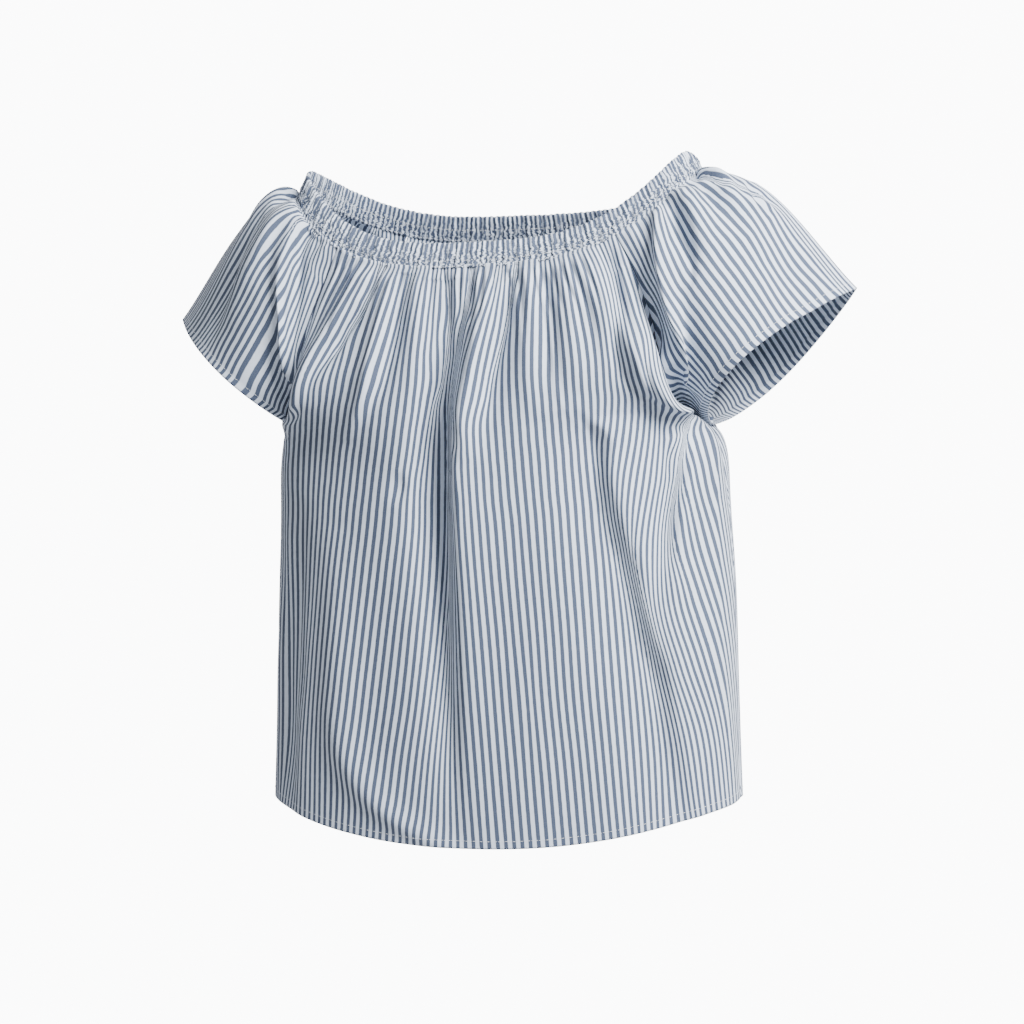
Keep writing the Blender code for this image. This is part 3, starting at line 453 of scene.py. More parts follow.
def guided_stripes(guides, trust, shares, levels, lengths):
    """Each point's place across the flat cut, in metres, from the guides that follow stripes.

    Beyond the shares that the guides are trusted for, the cloth is stretched no more than the true
    lengths along its rows allow.
    """
    numbers, paths = guides
    places = np.array([level for level, _ in paths])
    table = np.array([(*row, *(row[-1] + STRIPE_STEP * (number - numbers[len(row) - 1])
                               for number in numbers[len(row):])) for _, row in paths]) / 1000.0
    lines = np.stack([smooth_table(places, column, levels) for column in table.T], axis=1)
    step = STRIPE_SQUEEZE * np.arange(len(numbers))
    lines = np.maximum.accumulate(lines - step, axis=1) + step
    # The outermost intervals run on past the ends of the table
    ends = (lines[:, [0]] * 11.0 - lines[:, [1]] * 10.0, lines[:, [-1]] * 11.0 - lines[:, [-2]] * 10.0)
    spread = np.concatenate((ends[0], lines, ends[1]), axis=1)
    numbers = (numbers[0] * 11.0 - numbers[1] * 10.0, *numbers, numbers[-1] * 11.0 - numbers[-2] * 10.0)
    across = np.stack([np.interp(shares, row, numbers) for row in spread])
    steps = np.diff(across, axis=1)
    need = softened(np.abs(np.diff(lengths, axis=1)), 40, 6) * trust[2] / STRIPE
    need = np.maximum(steps, need)
    low = (np.maximum(lines[:, [0]], trust[0]) - shares[:-1]) / np.diff(shares)
    high = (shares[1:] - np.minimum(lines[:, [-1]], trust[1])) / np.diff(shares)
    outside = np.clip(np.maximum(low, high), 0.0, 1.0)
    steps = steps + (need - steps) * outside
    reach = np.concatenate((np.zeros((len(levels), 1)), np.cumsum(steps, axis=1)), axis=1)
    middle = len(shares) // 2
    return (reach - reach[:, [middle]] + across[:, [middle]]) * STRIPE


def reflected(guides):
    """Guides of a sleeve's front half, with their mirror images down its back half."""
    numbers, paths = guides
    numbers = (*numbers, *(2 * numbers[-1] - number for number in numbers[-2::-1]))
    return numbers, tuple((level, (*row, *(-share for share in row[-2::-1]))) for level, row in paths)


def panel_stripes(name, shares, levels, lengths):
    """Places across the flat cut of one panel, the back and the right sleeve from their mirror images."""
    if name == "front":
        return guided_stripes(FRONT_STRIPES, BODY_TRUST, shares, levels, lengths)
    if name == "back":
        return -guided_stripes(FRONT_STRIPES, BACK_TRUST, shares, levels, lengths[:, ::-1])[:, ::-1]
    if name == "sleeve_left":
        return guided_stripes(reflected(LEFT_SLEEVE_STRIPES), SLEEVE_TRUST, shares, levels, lengths)
    return -guided_stripes(reflected(RIGHT_SLEEVE_STRIPES), SLEEVE_TRUST, shares, levels,
                           lengths[:, ::-1])[:, ::-1]


def soft_noise(u, v, cell_u, cell_v, seed):
    """Smooth noise from -1 to 1 over two coordinates, with its own cell size along each."""
    lattice = np.random.default_rng(seed).uniform(-1.0, 1.0, (LATTICE, LATTICE))
    column = u / cell_u + 97.3
    row = v / cell_v + 61.7
    c0 = np.floor(column).astype(int)
    r0 = np.floor(row).astype(int)
    fc = smooth_step(column - c0)
    fr = smooth_step(row - r0)

    def at(r, c):
        return lattice[r % LATTICE, c % LATTICE]

    top = at(r0, c0) * (1.0 - fc) + at(r0, c0 + 1) * fc
    low = at(r0 + 1, c0) * (1.0 - fc) + at(r0 + 1, c0 + 1) * fc
    return top * (1.0 - fr) + low * fr


def neck_curve(angles, drop):
    """Points of the neck ring at angles from the left shoulder, a drop below the casing's top edge."""
    cosine = np.cos(angles)
    sine = np.sin(angles)
    shoulder = np.abs(cosine) ** NECK_RISE_POWER
    middle = np.where(sine < 0.0, NECK_FRONT_RISE, NECK_BACK_RISE)
    share = drop / CASING_DEPTH
    x = (NECK_HALF_WIDTH + CASING_FLARE_SIDE * share) * signed_power(cosine, NECK_POWER)
    y = (NECK_HALF_DEPTH + CASING_FLARE_FRONT * share) * signed_power(sine, NECK_POWER)
    z = NECK_SHOULDER_RISE * shoulder + middle * (1.0 - shoulder) - drop
    return np.stack((x, y, z), axis=-1)


def neck_arc(start, end, drop, shares):
    """Points of the neck ring between two angles, at shares of that arc's length."""
    ease = 0.5 - 0.5 * np.cos(np.linspace(0.0, math.pi, DENSE))
    return resample(neck_curve(start + (end - start) * ease, drop), shares)


def bezier(ends_and_handles, count):
    """A cubic Bezier curve as a dense polyline."""
    first, first_handle, second_handle, last = (np.asarray(point) for point in ends_and_handles)
    share = np.linspace(0.0, 1.0, count)[:, None]
    rest = 1.0 - share
    return (rest ** 3 * first + 3.0 * share * rest ** 2 * first_handle
            + 3.0 * share ** 2 * rest * second_handle + share ** 3 * last)


def raglan_seam(face, shares):
    """The left raglan seam of the front (-1) or back (+1), from the casing to the underarm."""
    start = neck_curve(np.array([face * SEAM_ANGLE]), CASING_DEPTH + SEAM_GAP)[0]
    handles = FRONT_SEAM_HANDLES if face < 0 else BACK_SEAM_HANDLES
    return resample(bezier((start, *handles, UNDERARM), DENSE), shares)


def side_seam(shares):
    """The left side seam from the underarm to the hem."""
    hem_side = (HEM_HALF_WIDTH, HEM_CENTRE_Y, HEM_LEVEL + HEM_SIDE_RISE)
    return resample(bezier((UNDERARM, *SIDE_SEAM_HANDLES, hem_side), DENSE), shares)


def body_edge(face, levels):
    """The left edge of a body panel: raglan seam above the underarm, side seam below it."""
    raglan = raglan_seam(face, np.clip(levels / RAGLAN_SHARE, 0.0, 1.0))
    side = side_seam(np.clip((levels - RAGLAN_SHARE) / (1.0 - RAGLAN_SHARE), 0.0, 1.0))
    return np.where((levels <= RAGLAN_SHARE)[:, None], raglan, side)


def body_profile(face, levels):
    """The middle of a body panel, from the casing down to the hem."""
    top = neck_curve(np.array([face * math.pi / 2.0]), CASING_DEPTH + SEAM_GAP)[0]
    y = smooth_table(PROFILE_LEVELS, PROFILE_FRONT if face < 0 else PROFILE_BACK, levels)
    z = top[2] + (HEM_LEVEL - top[2]) * levels
    return np.stack((np.zeros_like(z), y, z), axis=1)


def neck_shape(face, shares):
    """The top edge of a body panel as shares of its width, its bow and its rise, from middle to edge."""
    arc = neck_arc(face * math.pi / 2.0, face * SEAM_ANGLE, CASING_DEPTH + SEAM_GAP, shares)
    centre = arc[0]
    edge = neck_curve(np.array([face * SEAM_ANGLE]), CASING_DEPTH + SEAM_GAP)[0]
    return arc[:, 0] / edge[0], (arc[:, 1] - edge[1]) / (centre[1] - edge[1]), \
        (arc[:, 2] - edge[2]) / (centre[2] - edge[2])


def hem_shape(width, depth, shares):
    """A rounded section of the body as shares of its width, its bow and its rise, from middle to edge."""
    angle = np.linspace(0.0, math.pi / 2.0, DENSE)
    across = np.sin(angle) ** HEM_POWER
    bow = np.cos(angle) ** HEM_POWER
    flat = np.stack((width * across, depth * bow, np.zeros_like(across)), axis=1)
    even = resample(flat, shares)
    return even[:, 0] / width, even[:, 1] / depth, 1.0 - np.abs(even[:, 0] / width) ** HEM_RISE_POWER


def body_surface(face, shares, levels):
    """The smooth form of a body panel: rows at levels 0 (casing) to 1 (hem), shares -1 to 1 across."""
    order = np.argsort(np.abs(shares))
    half = np.abs(shares)[order]
    edges = body_edge(face, levels)
    centres = body_profile(face, levels)
    top_x, top_y, top_z = neck_shape(face, half)
    rows = np.zeros((len(levels), len(shares), 3))
    for row, level in enumerate(levels):
        edge = edges[row]
        span = centres[row] - edge
        low_x, low_y, low_z = hem_shape(abs(edge[0]), abs(span[1]), half)
        blend = smooth_step(level / RAGLAN_SHARE)
        across = top_x + (low_x - top_x) * blend
        bow = top_y + (low_y - top_y) * blend
        rise = top_z + (low_z - top_z) * blend
        swell = SWELL * math.exp(-((level - RAGLAN_SHARE) / SWELL_REACH) ** 2) * np.sin(math.pi * half ** 3)
        rows[row, order, 0] = (edge[0] * across + swell) * np.sign(shares[order] + 1e-12)
        rows[row, order, 1] = edge[1] + span[1] * bow
        rows[row, order, 2] = edge[2] + span[2] * rise
    return rows


def ease_underarm(grid, shares, levels):
    """Round off the change of direction that a body panel has at its underarm row, but not its edges."""
    apart = (levels[:, None] - levels[None, :]) / UNDERARM_EASE
    weights = np.exp(-apart ** 2) * np.gradient(levels)[None, :]
    weights /= weights.sum(axis=1, keepdims=True)
    eased = np.tensordot(weights, grid, axes=(1, 0))
    near = 1.0 - smooth_step((np.abs(levels - RAGLAN_SHARE) - 0.06) / 0.10)
    inside = smooth_step((1.0 - np.abs(shares)) / 0.22)
    return grid + (eased - grid) * (near[:, None] * inside[None, :])[..., None]


def cuff_curve(shares):
    """The cuff's edge from the underarm, over the front (-1 to 0) to the tip, and down the back (0 to 1)."""
    tip = np.asarray(CUFF_TIP)
    underarm = np.asarray(CUFF_UNDERARM)
    centre = (tip + underarm) / 2.0
    half = (tip - underarm) / 2.0
    angle = np.linspace(0.0, math.pi, DENSE)[:, None]
    halves = []
    for bulge in (CUFF_FRONT, CUFF_BACK):
        lens = centre + np.cos(angle) * half + np.sin(angle) ** CUFF_POWER * (np.asarray(bulge) - centre)
        halves.append(lens)
    front = resample(halves[0], np.clip(-shares, 0.0, 1.0))
    back = resample(halves[1], np.clip(shares, 0.0, 1.0))
    return np.where((shares <= 0.0)[:, None], front, back)


def sleeve_edge(face, levels):
    """The sleeve's front (-1) or back (+1) edge: raglan seam, then the short underarm seam."""
    raglan = raglan_seam(face, np.clip(levels / SLEEVE_SEAM_SHARE, 0.0, 1.0))
    rest = np.clip((levels - SLEEVE_SEAM_SHARE) / (1.0 - SLEEVE_SEAM_SHARE), 0.0, 1.0)[:, None]
    short = np.asarray(UNDERARM) + rest * (np.asarray(CUFF_UNDERARM) - np.asarray(UNDERARM))
    return np.where((levels <= SLEEVE_SEAM_SHARE)[:, None], raglan, short)


def sleeve_surface(shares, levels):
    """The smooth form of the left sleeve: levels 0 (casing) to 1 (cuff), shares -1 (front) to 1 (back)."""
    down = levels[:, None, None]
    arc = neck_arc(-SEAM_ANGLE, SEAM_ANGLE, CASING_DEPTH + SEAM_GAP, (shares + 1.0) / 2.0)
    cuff = cuff_curve(shares)
    length = np.linalg.norm(cuff - arc, axis=1)[:, None]
    over = (1.0 - np.abs(shares))[:, None]
    lift = PUFF_RISE * (1.0 - shares ** 2) - PUFF_DROP
    away = unit(np.stack((np.full(len(shares), PUFF_OUT), PUFF_ASIDE * shares, lift), axis=1))
    cuff_axis = unit(np.cross(np.asarray(CUFF_TIP) - np.asarray(CUFF_UNDERARM),
                              np.asarray(CUFF_FRONT) - np.asarray(CUFF_BACK)))
    leave = arc + away * length * (PUFF_LENGTH + PUFF_LENGTH_OVER * over)
    arrive = cuff - cuff_axis * length * CUFF_LENGTH
    rest = 1.0 - down
    base = (rest ** 3 * arc + 3.0 * down * rest ** 2 * leave
            + 3.0 * down ** 2 * rest * arrive + down ** 3 * cuff)
    for face, side in ((-1, shares < 0.0), (1, shares >= 0.0)):
        column = 0 if face < 0 else -1
        shift = sleeve_edge(face, levels) - base[:, column].copy()
        pull = np.where(side, np.abs(shares) ** EDGE_PULL_POWER, 0.0)
        base = base + pull[None, :, None] * shift[:, None, :]
    return base


def grid_normals(grid):
    """Unit normals of a grid of points, from its rows and columns."""
    return unit(np.cross(np.gradient(grid, axis=1), np.gradient(grid, axis=0)))


def faces_out(name, normals):
    """Whether the middle one of a panel's normals points away from the body."""
    return np.dot(normals[normals.shape[0] // 2, normals.shape[1] // 2], AWAY[name]) > 0.0


def outward(name, grid):
    """Normals of a panel's grid that point away from the body."""
    normals = grid_normals(grid)
    return normals if faces_out(name, normals) else -normals


def tilt(points):
    """Lower the left shoulder a little and raise the right one, as the neck ring sits."""
    moved = np.array(points, dtype=float)
    share = smooth_step((moved[..., 2] + TILT_REACH) / TILT_REACH)
    moved[..., 2] += NECK_TILT * moved[..., 0] * share
    return moved


def half_arcs(rows):
    """Half the length of each row of points."""
    return np.linalg.norm(np.diff(rows, axis=1), axis=2).sum(axis=1) / 2.0


def seam_rows():
    """Shares of the raglan seam's length at which it is sampled, closer together near the casing."""
    return (np.arange(RAGLAN_ROWS + 1) / RAGLAN_ROWS) ** ROW_CROWDING


def body_levels():
    """Levels of a body panel's rows, with one at the hem's stitch line."""
    stitch = 1.0 - HEM_DEPTH / abs(HEM_LEVEL - NECK_FRONT_RISE)
    below = np.linspace(RAGLAN_SHARE, stitch, SIDE_ROWS + 1)[1:]
    hem = np.linspace(stitch, 1.0, HEM_ROWS + 1)[1:]
    return np.concatenate((RAGLAN_SHARE * seam_rows(), below, hem))


def sleeve_levels():
    """Levels of a sleeve's rows, with one at the cuff's stitch line."""
    cuff = np.linspace(SLEEVE_SEAM_SHARE, 1.0, CUFF_ROWS + 1)[1:]
    return np.concatenate((SLEEVE_SEAM_SHARE * seam_rows(), cuff))


def fold_shift(table, shares, levels, half_widths):
    """Height of a panel's folds above its smooth form, and how far they lean across it."""
    height = np.zeros((len(levels), len(shares)))
    lean = np.zeros_like(height)
    for path, left, right, lean_mm in table:
        places, across, heights = (np.array(column, dtype=float) for column in zip(*path))
        middle = smooth_table(places, across, levels)
        tall = smooth_table(places, heights, levels) * MM
        inside = (levels >= places[0]) & (levels <= places[-1])
        tall = np.where(inside, tall, 0.0)
        offset = (shares[None, :] - middle[:, None]) * half_widths[:, None]
        reach = np.where(offset < 0.0, left, right) * MM
        bump = np.exp(-(offset / reach) ** 2)
        height += tall[:, None] * bump
        lean += lean_mm * MM * bump * (np.abs(tall) / max(np.abs(tall).max(), 1e-9))[:, None]
    return height, lean


def gather_shift(count, seed, shares, levels):
    """Height of the small gathers under the casing: uneven rounded ridges that die out downwards."""
    draw = np.random.default_rng(seed)
    total = np.zeros((len(levels), len(shares)))
    for number, depth_mm, reach_low, reach_high in (
            (count, 1.9, 0.05, 0.17), (int(count * FINE_GATHERS), 0.85, 0.018, 0.05)):
        widths = draw.uniform(0.6, 1.4, number)
        bounds = np.concatenate(([0.0], np.cumsum(widths) / widths.sum())) * 2.0 - 1.0
        depths = draw.uniform(0.55, 1.35, number) * depth_mm * MM
        reaches = draw.uniform(reach_low, reach_high, number)
        drifts = draw.uniform(-0.012, 0.012, number)
        meander = soft_noise(shares[None, :], levels[:, None], 0.35, 0.07, seed + 5)
        place = np.clip(shares[None, :] + 0.018 * meander * smooth_step(levels[:, None] / 0.12), -1.0, 1.0)
        cell = np.clip(np.searchsorted(bounds, place, side="right") - 1, 0, number - 1)
        phase = (place - bounds[cell]) / (bounds[cell + 1] - bounds[cell])
        phase = np.clip(phase + drifts[cell], 0.0, 1.0)
        ridge = np.sin(math.pi * phase) ** 1.15 * 2.0 - 1.0
        fade = np.exp(-(levels[:, None] / reaches[cell]) ** 1.7)
        before, after = np.clip(cell - 1, 0, number - 1), np.clip(cell + 1, 0, number - 1)
        neighbour = np.minimum(reaches[before], reaches[after])
        both = np.exp(-(levels[:, None] / np.minimum(reaches[cell], neighbour)) ** 1.7)
        edge = (1.0 - np.sin(math.pi * phase)) ** 2
        total += depths[cell] * ridge * (fade * (1.0 - edge) + both * edge)
    start = 0.12 + 0.88 * smooth_step(levels / 0.026)
    return total * start[:, None]


def row_lengths(grid, normals, grain):
    """Length along each row from its middle column, square to the grain, negative to the left."""
    lie = unit(grain - normals * (normals @ grain)[..., None])
    lie = unit(lie[:, :-1] + lie[:, 1:])
    steps = np.diff(grid, axis=1)
    steps = steps - lie * np.einsum("ijk,ijk->ij", steps, lie)[..., None]
    steps = np.linalg.norm(steps, axis=2)
    reach = np.concatenate((np.zeros((len(grid), 1)), np.cumsum(steps, axis=1)), axis=1)
    return reach - reach[:, [grid.shape[1] // 2]]


def places_down(grid):
    """Each point's place along the flat cut, in metres from the casing."""
    steps = np.linalg.norm(np.diff(grid, axis=0), axis=2)
    return np.concatenate((np.zeros((1, grid.shape[1])), np.cumsum(steps, axis=0)))


def draw_back(grid, normals, column, inner_column, corner_row):
    """Move a panel's edge column into the panel, square to the seam, to leave the seam's gap."""
    edge = grid[:, column]
    across = unit(np.cross(normals[:, column], np.gradient(edge, axis=0)))
    inward = np.sign(np.einsum("ij,ij->i", across, grid[:, inner_column] - edge))
    rows = np.arange(len(edge))
    amount = EDGE_CLEARANCE + (CORNER_CLEARANCE - EDGE_CLEARANCE) * np.exp(-((rows - corner_row) / 1.5) ** 2)
    grid[:, column] = edge + across * (inward * amount)[:, None]


def share_seam(first, second):
    """Give two panels the same normals along a seam: the mean of both."""
    mean = unit(first + second)
    first[:] = mean
    second[:] = mean


def grid_quads(number):
    """Quads between the rows and columns of a grid of point numbers."""
    corners = (number[:-1, :-1], number[1:, :-1], number[1:, 1:], number[:-1, 1:])
    return np.stack(corners, axis=-1).reshape(-1, 4)


def turn_out(mesh, weld=False):
    """Turn all faces outwards, with points in the same place made one first if asked."""
    shell = bmesh.new()
    shell.from_mesh(mesh)
    if weld:
        bmesh.ops.remove_doubles(shell, verts=shell.verts, dist=1e-6)
    bmesh.ops.recalc_face_normals(shell, faces=shell.faces)
    shell.to_mesh(mesh)
    shell.free()


def set_flat_cut(mesh, across, down):
    """Store each point's place in the flat cut on the mesh's corners."""
    layer = mesh.uv_layers.new(name="flat_cut")
    vertices = np.zeros(len(mesh.loops), dtype=np.int32)
    mesh.loops.foreach_get("vertex_index", vertices)
    places = np.stack((across, down), axis=1)
    layer.data.foreach_set("uv", places[vertices].astype(np.float32).reshape(-1))


def cloth_mesh(name, outer, thickness, across, down):
    """A thin closed shell under an outer grid of points, with each point's place in the flat cut."""
    rows, columns = outer.shape[:2]
    count = rows * columns
    number = np.arange(count).reshape(rows, columns)
    inner = outer - grid_normals(outer) * thickness
    points = np.concatenate((outer.reshape(-1, 3), inner.reshape(-1, 3)))
    quads = grid_quads(number)
    rim = np.concatenate((number[0, :], number[1:, -1], number[-1, :-1][::-1], number[1:-1, 0][::-1]))
    after = np.roll(rim, -1)
    sides = np.stack((rim, after, after + count, rim + count), axis=-1)
    faces = np.concatenate((quads, quads[:, ::-1] + count, sides))
    mesh = bpy.data.meshes.new(name)
    mesh.from_pydata(points.tolist(), [], faces.tolist())
    turn_out(mesh)
    set_flat_cut(mesh, np.tile(across.reshape(-1), 2), np.tile(down.reshape(-1), 2))
    mesh.shade_smooth()
    mesh.update()
    return mesh


def add_cloth(name, mesh, material, slot, *nodes):
    """Put a cloth piece in the scene, in place of its CAD nodes."""
    piece = bpy.data.objects.new(name, mesh)
    bpy.context.scene.collection.objects.link(piece)
    mesh.materials.append(material)
    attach(piece, "root")
    if nodes:
        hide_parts(*nodes)
    return piece


def tuck(grid, normals, across, down):
    """Turn seam allowances inwards at both sides of a panel, and run its top up inside the casing."""
    first, last = normals[:, [0]], normals[:, [-1]]
    turned = ALLOWANCE * first, ALLOWANCE * last
    grid = np.concatenate((grid[:, [0]] - turned[0], grid[:, [0]] - turned[0] * 0.5, grid,
                           grid[:, [-1]] - turned[1] * 0.5, grid[:, [-1]] - turned[1]), axis=1)
    across = np.concatenate((across[:, [0]] - ALLOWANCE, across[:, [0]] - ALLOWANCE * 0.5, across,
                             across[:, [-1]] + ALLOWANCE * 0.5, across[:, [-1]] + ALLOWANCE), axis=1)
    normals, down = (np.concatenate((values[:, :1], values[:, :1], values, values[:, -1:], values[:, -1:]),
                                    axis=1) for values in (normals, down))
    top = grid[[0]] - normals[[0]] * TUCK_IN * MM + np.array((0.0, 0.0, TUCK_UP))
    return (np.concatenate((top, grid)), np.concatenate((across[[0]], across)),
            np.concatenate((down[[0]] - TUCK_UP, down)))


def fine_wrinkles(across, down, seed):
    """Low soft unevenness of worn-in cotton, longer down the cloth than across it."""
    broad = soft_noise(across, down, 0.034, 0.110, seed) * 0.55 * MM
    small = soft_noise(across, down, 0.014, 0.045, seed + 1) * 0.16 * MM
    return broad + small


def seam_valley(name, shares, half_widths, rows, side, sleeve):
    """Trough along one raglan seam, for the rows of a panel down to the underarm."""
    path, body_reach, sleeve_reach = SEAM_VALLEYS[name]
    places, depths = (np.array(column, dtype=float) for column in zip(*path))
    depth = np.zeros(rows)
    depth[:RAGLAN_ROWS + 1] = smooth_table(places, depths, seam_rows()) * MM
    reach = (sleeve_reach if sleeve else body_reach) * MM
    distance = (1.0 - side * shares[None, :]) * half_widths[:, None]
    return -depth[:, None] * np.exp(-(distance / reach) ** 2)


def edge_groove(shares, half_widths):
    """The narrow groove of a sewn seam at both edges of a panel."""
    distance = (1.0 - np.abs(shares[None, :])) * half_widths[:, None]
    return -SEAM_GROOVE * MM * np.exp(-(distance / (SEAM_GROOVE_REACH * MM)) ** 2)


def edge_fade(shares, half_widths, reach):
    """Fade relief to nothing at both edges of a panel."""
    distance = (1.0 - np.abs(shares[None, :])) * half_widths[:, None]
    return smooth_step(distance / reach)


def shell_thickness(rows, columns, hem_rows):
    """Thickness of a cloth shell: one layer, and thicker in its turned hem."""
    thickness = np.full((rows, columns, 1), CLOTH)
    thickness[-hem_rows - 1:] = HEM_CLOTH
    return thickness


def build_panels():
    """Points, normals and flat places of the four panels."""
    shares = np.linspace(-1.0, 1.0, BODY_COLUMNS + 1)
    cuff_shares = np.linspace(-1.0, 1.0, SLEEVE_COLUMNS + 1)
    levels = body_levels()
    cuff_levels = sleeve_levels()
    smooth = {
        "front": ease_underarm(body_surface(-1, shares, levels), shares, levels),
        "back": ease_underarm(body_surface(1, shares, levels), shares, levels),
        "sleeve_left": sleeve_surface(cuff_shares, cuff_levels),
    }
    smooth["sleeve_right"] = smooth["sleeve_left"][:, ::-1] * np.array((-1.0, 1.0, 1.0))
    normals = {name: outward(name, grid) for name, grid in smooth.items()}
    raglan = slice(0, RAGLAN_ROWS + 1)
    side = slice(RAGLAN_ROWS, None)
    for hand, body_column, front_column, back_column in (("left", -1, 0, -1), ("right", 0, -1, 0)):
        sleeve = normals["sleeve_" + hand]
        share_seam(normals["front"][side, body_column], normals["back"][side, body_column])
        share_seam(sleeve[side, front_column], sleeve[side, back_column])
        share_seam(normals["front"][raglan, body_column], sleeve[raglan, front_column])
        share_seam(normals["back"][raglan, body_column], sleeve[raglan, back_column])
    panels = {}
    for name, grid in smooth.items():
        sleeve = name.startswith("sleeve")
        across_shares = cuff_shares if sleeve else shares
        down_levels = cuff_levels if sleeve else levels
        widths = half_arcs(grid)
        table_shares = -across_shares if name == "sleeve_right" else across_shares
        height, lean = fold_shift(FOLDS[name], table_shares, down_levels, widths)
        lean = -lean if name == "sleeve_right" else lean
        count = SLEEVE_GATHERS if sleeve else BODY_GATHERS
        gathers = gather_shift(count, SEEDS[name], across_shares, down_levels)
        fade = edge_fade(across_shares, widths, SLEEVE_EDGE_FADE if sleeve else BODY_EDGE_FADE)
        rough_across = across_shares[None, :] * widths[:, None]
        rough_down = down_levels[:, None] * (SLEEVE_LENGTH if sleeve else BODY_LENGTH)
        normal = normals[name]
        middle = grid[:, grid.shape[1] // 2]
        grain = unit(middle[-1] - middle[0]) if sleeve else np.array((0.0, 0.0, -1.0))
        plain = row_lengths(grid, normal, grain)
        drawn = np.gradient(panel_stripes(name, across_shares, down_levels, plain), axis=1)
        drawn /= np.maximum(np.abs(np.gradient(plain, axis=1)), 1e-6)
        hidden = softened(smooth_step((softened(drawn, 4, 2) - HIDDEN_FROM) / HIDDEN_RANGE), 2, 1)
        height -= HIDDEN_DEPTH * hidden
        height *= 0.3 + 0.7 * smooth_step(down_levels / 0.03)[:, None]
        relief = (height + gathers + fine_wrinkles(rough_across, rough_down, SEEDS[name])) * fade
        relief += edge_groove(across_shares, widths)
        if sleeve:
            hand = name.split("_")[1]
            front_side = -1.0 if hand == "left" else 1.0
            valleys = (("front_" + hand, front_side), ("back_" + hand, -front_side))
        else:
            valleys = ((name + "_left", 1.0), (name + "_right", -1.0))
        for valley, valley_side in valleys:
            relief += seam_valley(valley, across_shares, widths, len(grid), valley_side, sleeve)
        along = unit(np.gradient(grid, axis=1))
        shaped = grid + normal * relief[..., None] + along * (lean * fade)[..., None]
        across = panel_stripes(name, across_shares, down_levels, row_lengths(shaped, normal, grain))
        for column, inner in ((0, 1), (-1, -2)):
            draw_back(shaped, normal, column, inner, RAGLAN_ROWS)
        panels[name] = {"grid": shaped, "normals": normal, "across": across, "down": places_down(grid),
                        "stitch_row": len(grid) - 1 - (CUFF_ROWS if sleeve else HEM_ROWS)}
    return panels


def level_outward(run):
    """Level vectors that point out of the neck ring, from the steps along it."""
    return unit(np.stack((run[:, 1], -run[:, 0], np.zeros(len(run))), axis=1))


def casing_row(shares, ring, drop, across_wall, loose):
    """One row of the casing's tube: uneven ribs that shift sideways between the rows of stitching."""
    base = neck_arc(-math.pi, math.pi, drop, shares)
    run = np.gradient(np.concatenate((base[-2:-1], base, base[1:2])), axis=0)[1:-1]
    level = np.full_like(ring, drop)
    wobble = soft_noise(ring, level, 0.011, 0.010, 71) * 0.9
    ribs = np.sin(shares * 2.0 * math.pi * RIBS + wobble * 2.4)
    broad = np.sin(shares * 2.0 * math.pi * BROAD_RIBS + 1.3 + wobble * 1.7 + 0.6 * math.sin(drop * 400))
    uneven = soft_noise(ring, level, 0.0045, 0.0035, 73)
    sewn = min(math.exp(-((drop - LOW_STITCHES) / STITCH_REACH) ** 2)
               + 0.55 * math.exp(-((drop - HIGH_STITCHES) / STITCH_REACH) ** 2), 1.0)
    belly = 0.35 * MM * math.sin(math.pi * min(drop / LOW_STITCHES, 1.0))
    out = (0.62 * ribs + 0.42 * broad + 0.60 * uneven) * MM * loose * (1.0 - 0.45 * sewn)
    out += belly * loose - 0.45 * MM * sewn * loose
    if across_wall > 0.5:
        out = -out * 0.8
    jumble = soft_noise(ring, level, 0.004, 0.0022, 79) * smooth_step((drop - 0.004) / 0.009)
    slide = (1.5 * jumble + 0.35 * soft_noise(ring, level, 0.006, 0.005, 83)) * MM
    slide[-1] = slide[0]
    out[-1] = out[0]
    row = base + level_outward(run) * (out - CASING_THICK * across_wall)[:, None] + unit(run) * slide[:, None]
    crest = np.sin(shares * 2.0 * math.pi * RIBS + 0.8) + 0.9 * soft_noise(ring, 0.0 * ring, 0.006, 1.0, 87)
    row[:, 2] += 0.42 * MM * crest * (1.0 - smooth_step(drop / 0.005))
    return row


def build_casing(material):
    """The elastic casing: a flattened tube of gathered cloth round the neck, with uneven puckers."""
    shares = np.arange(CASING_COLUMNS + 1) / CASING_COLUMNS
    lowest = neck_arc(-math.pi, math.pi, CASING_DEPTH, shares)
    length = np.cumsum(np.linalg.norm(np.diff(lowest, axis=0), axis=1))[-1]
    # Each row's drop from the top edge, its share of the way through the tube, and how loose it is
    loop = [(drop, 0.0, 1.0) for drop in np.linspace(CASING_DEPTH, 0.0012, CASING_OUTER_ROWS)]
    loop += [(0.00035, 0.30, 0.6), (0.0, 0.5, 0.3), (0.00035, 0.70, 0.6)]
    loop += [(drop, 1.0, 1.0) for drop in np.linspace(0.0012, CASING_DEPTH, CASING_INNER_ROWS)]
    loop += [(CASING_DEPTH, 0.5, 0.4)]
    grid = tilt(np.stack([casing_row(shares, shares * length, *row) for row in loop]))
    cut_length = length * (1.0 + CASING_FULLNESS)
    across = np.tile(shares * length * (1.0 + CASING_FULLNESS) - cut_length * 0.25, (len(loop), 1))
    downs = np.array([drop for drop, _, _ in loop])
    downs = np.where(np.arange(len(loop)) <= CASING_OUTER_ROWS, downs, -downs)
    downs = downs[:, None] + np.zeros_like(across)
    number = np.arange(across.size).reshape(across.shape)
    quads = grid_quads(np.concatenate((number, number[:1])))
    mesh = bpy.data.meshes.new("casing_cloth")
    mesh.from_pydata(grid.reshape(-1, 3).tolist(), [], quads.tolist())
    # The last column repeats the first so that the flat places can run on, and is welded to it after
    set_flat_cut(mesh, across.reshape(-1), downs.reshape(-1))
    turn_out(mesh, weld=True)
    mesh.shade_smooth()
    mesh.update()
    return add_cloth("neck_casing_cloth", mesh, material, "casing_cloth", "neck_casing"), grid


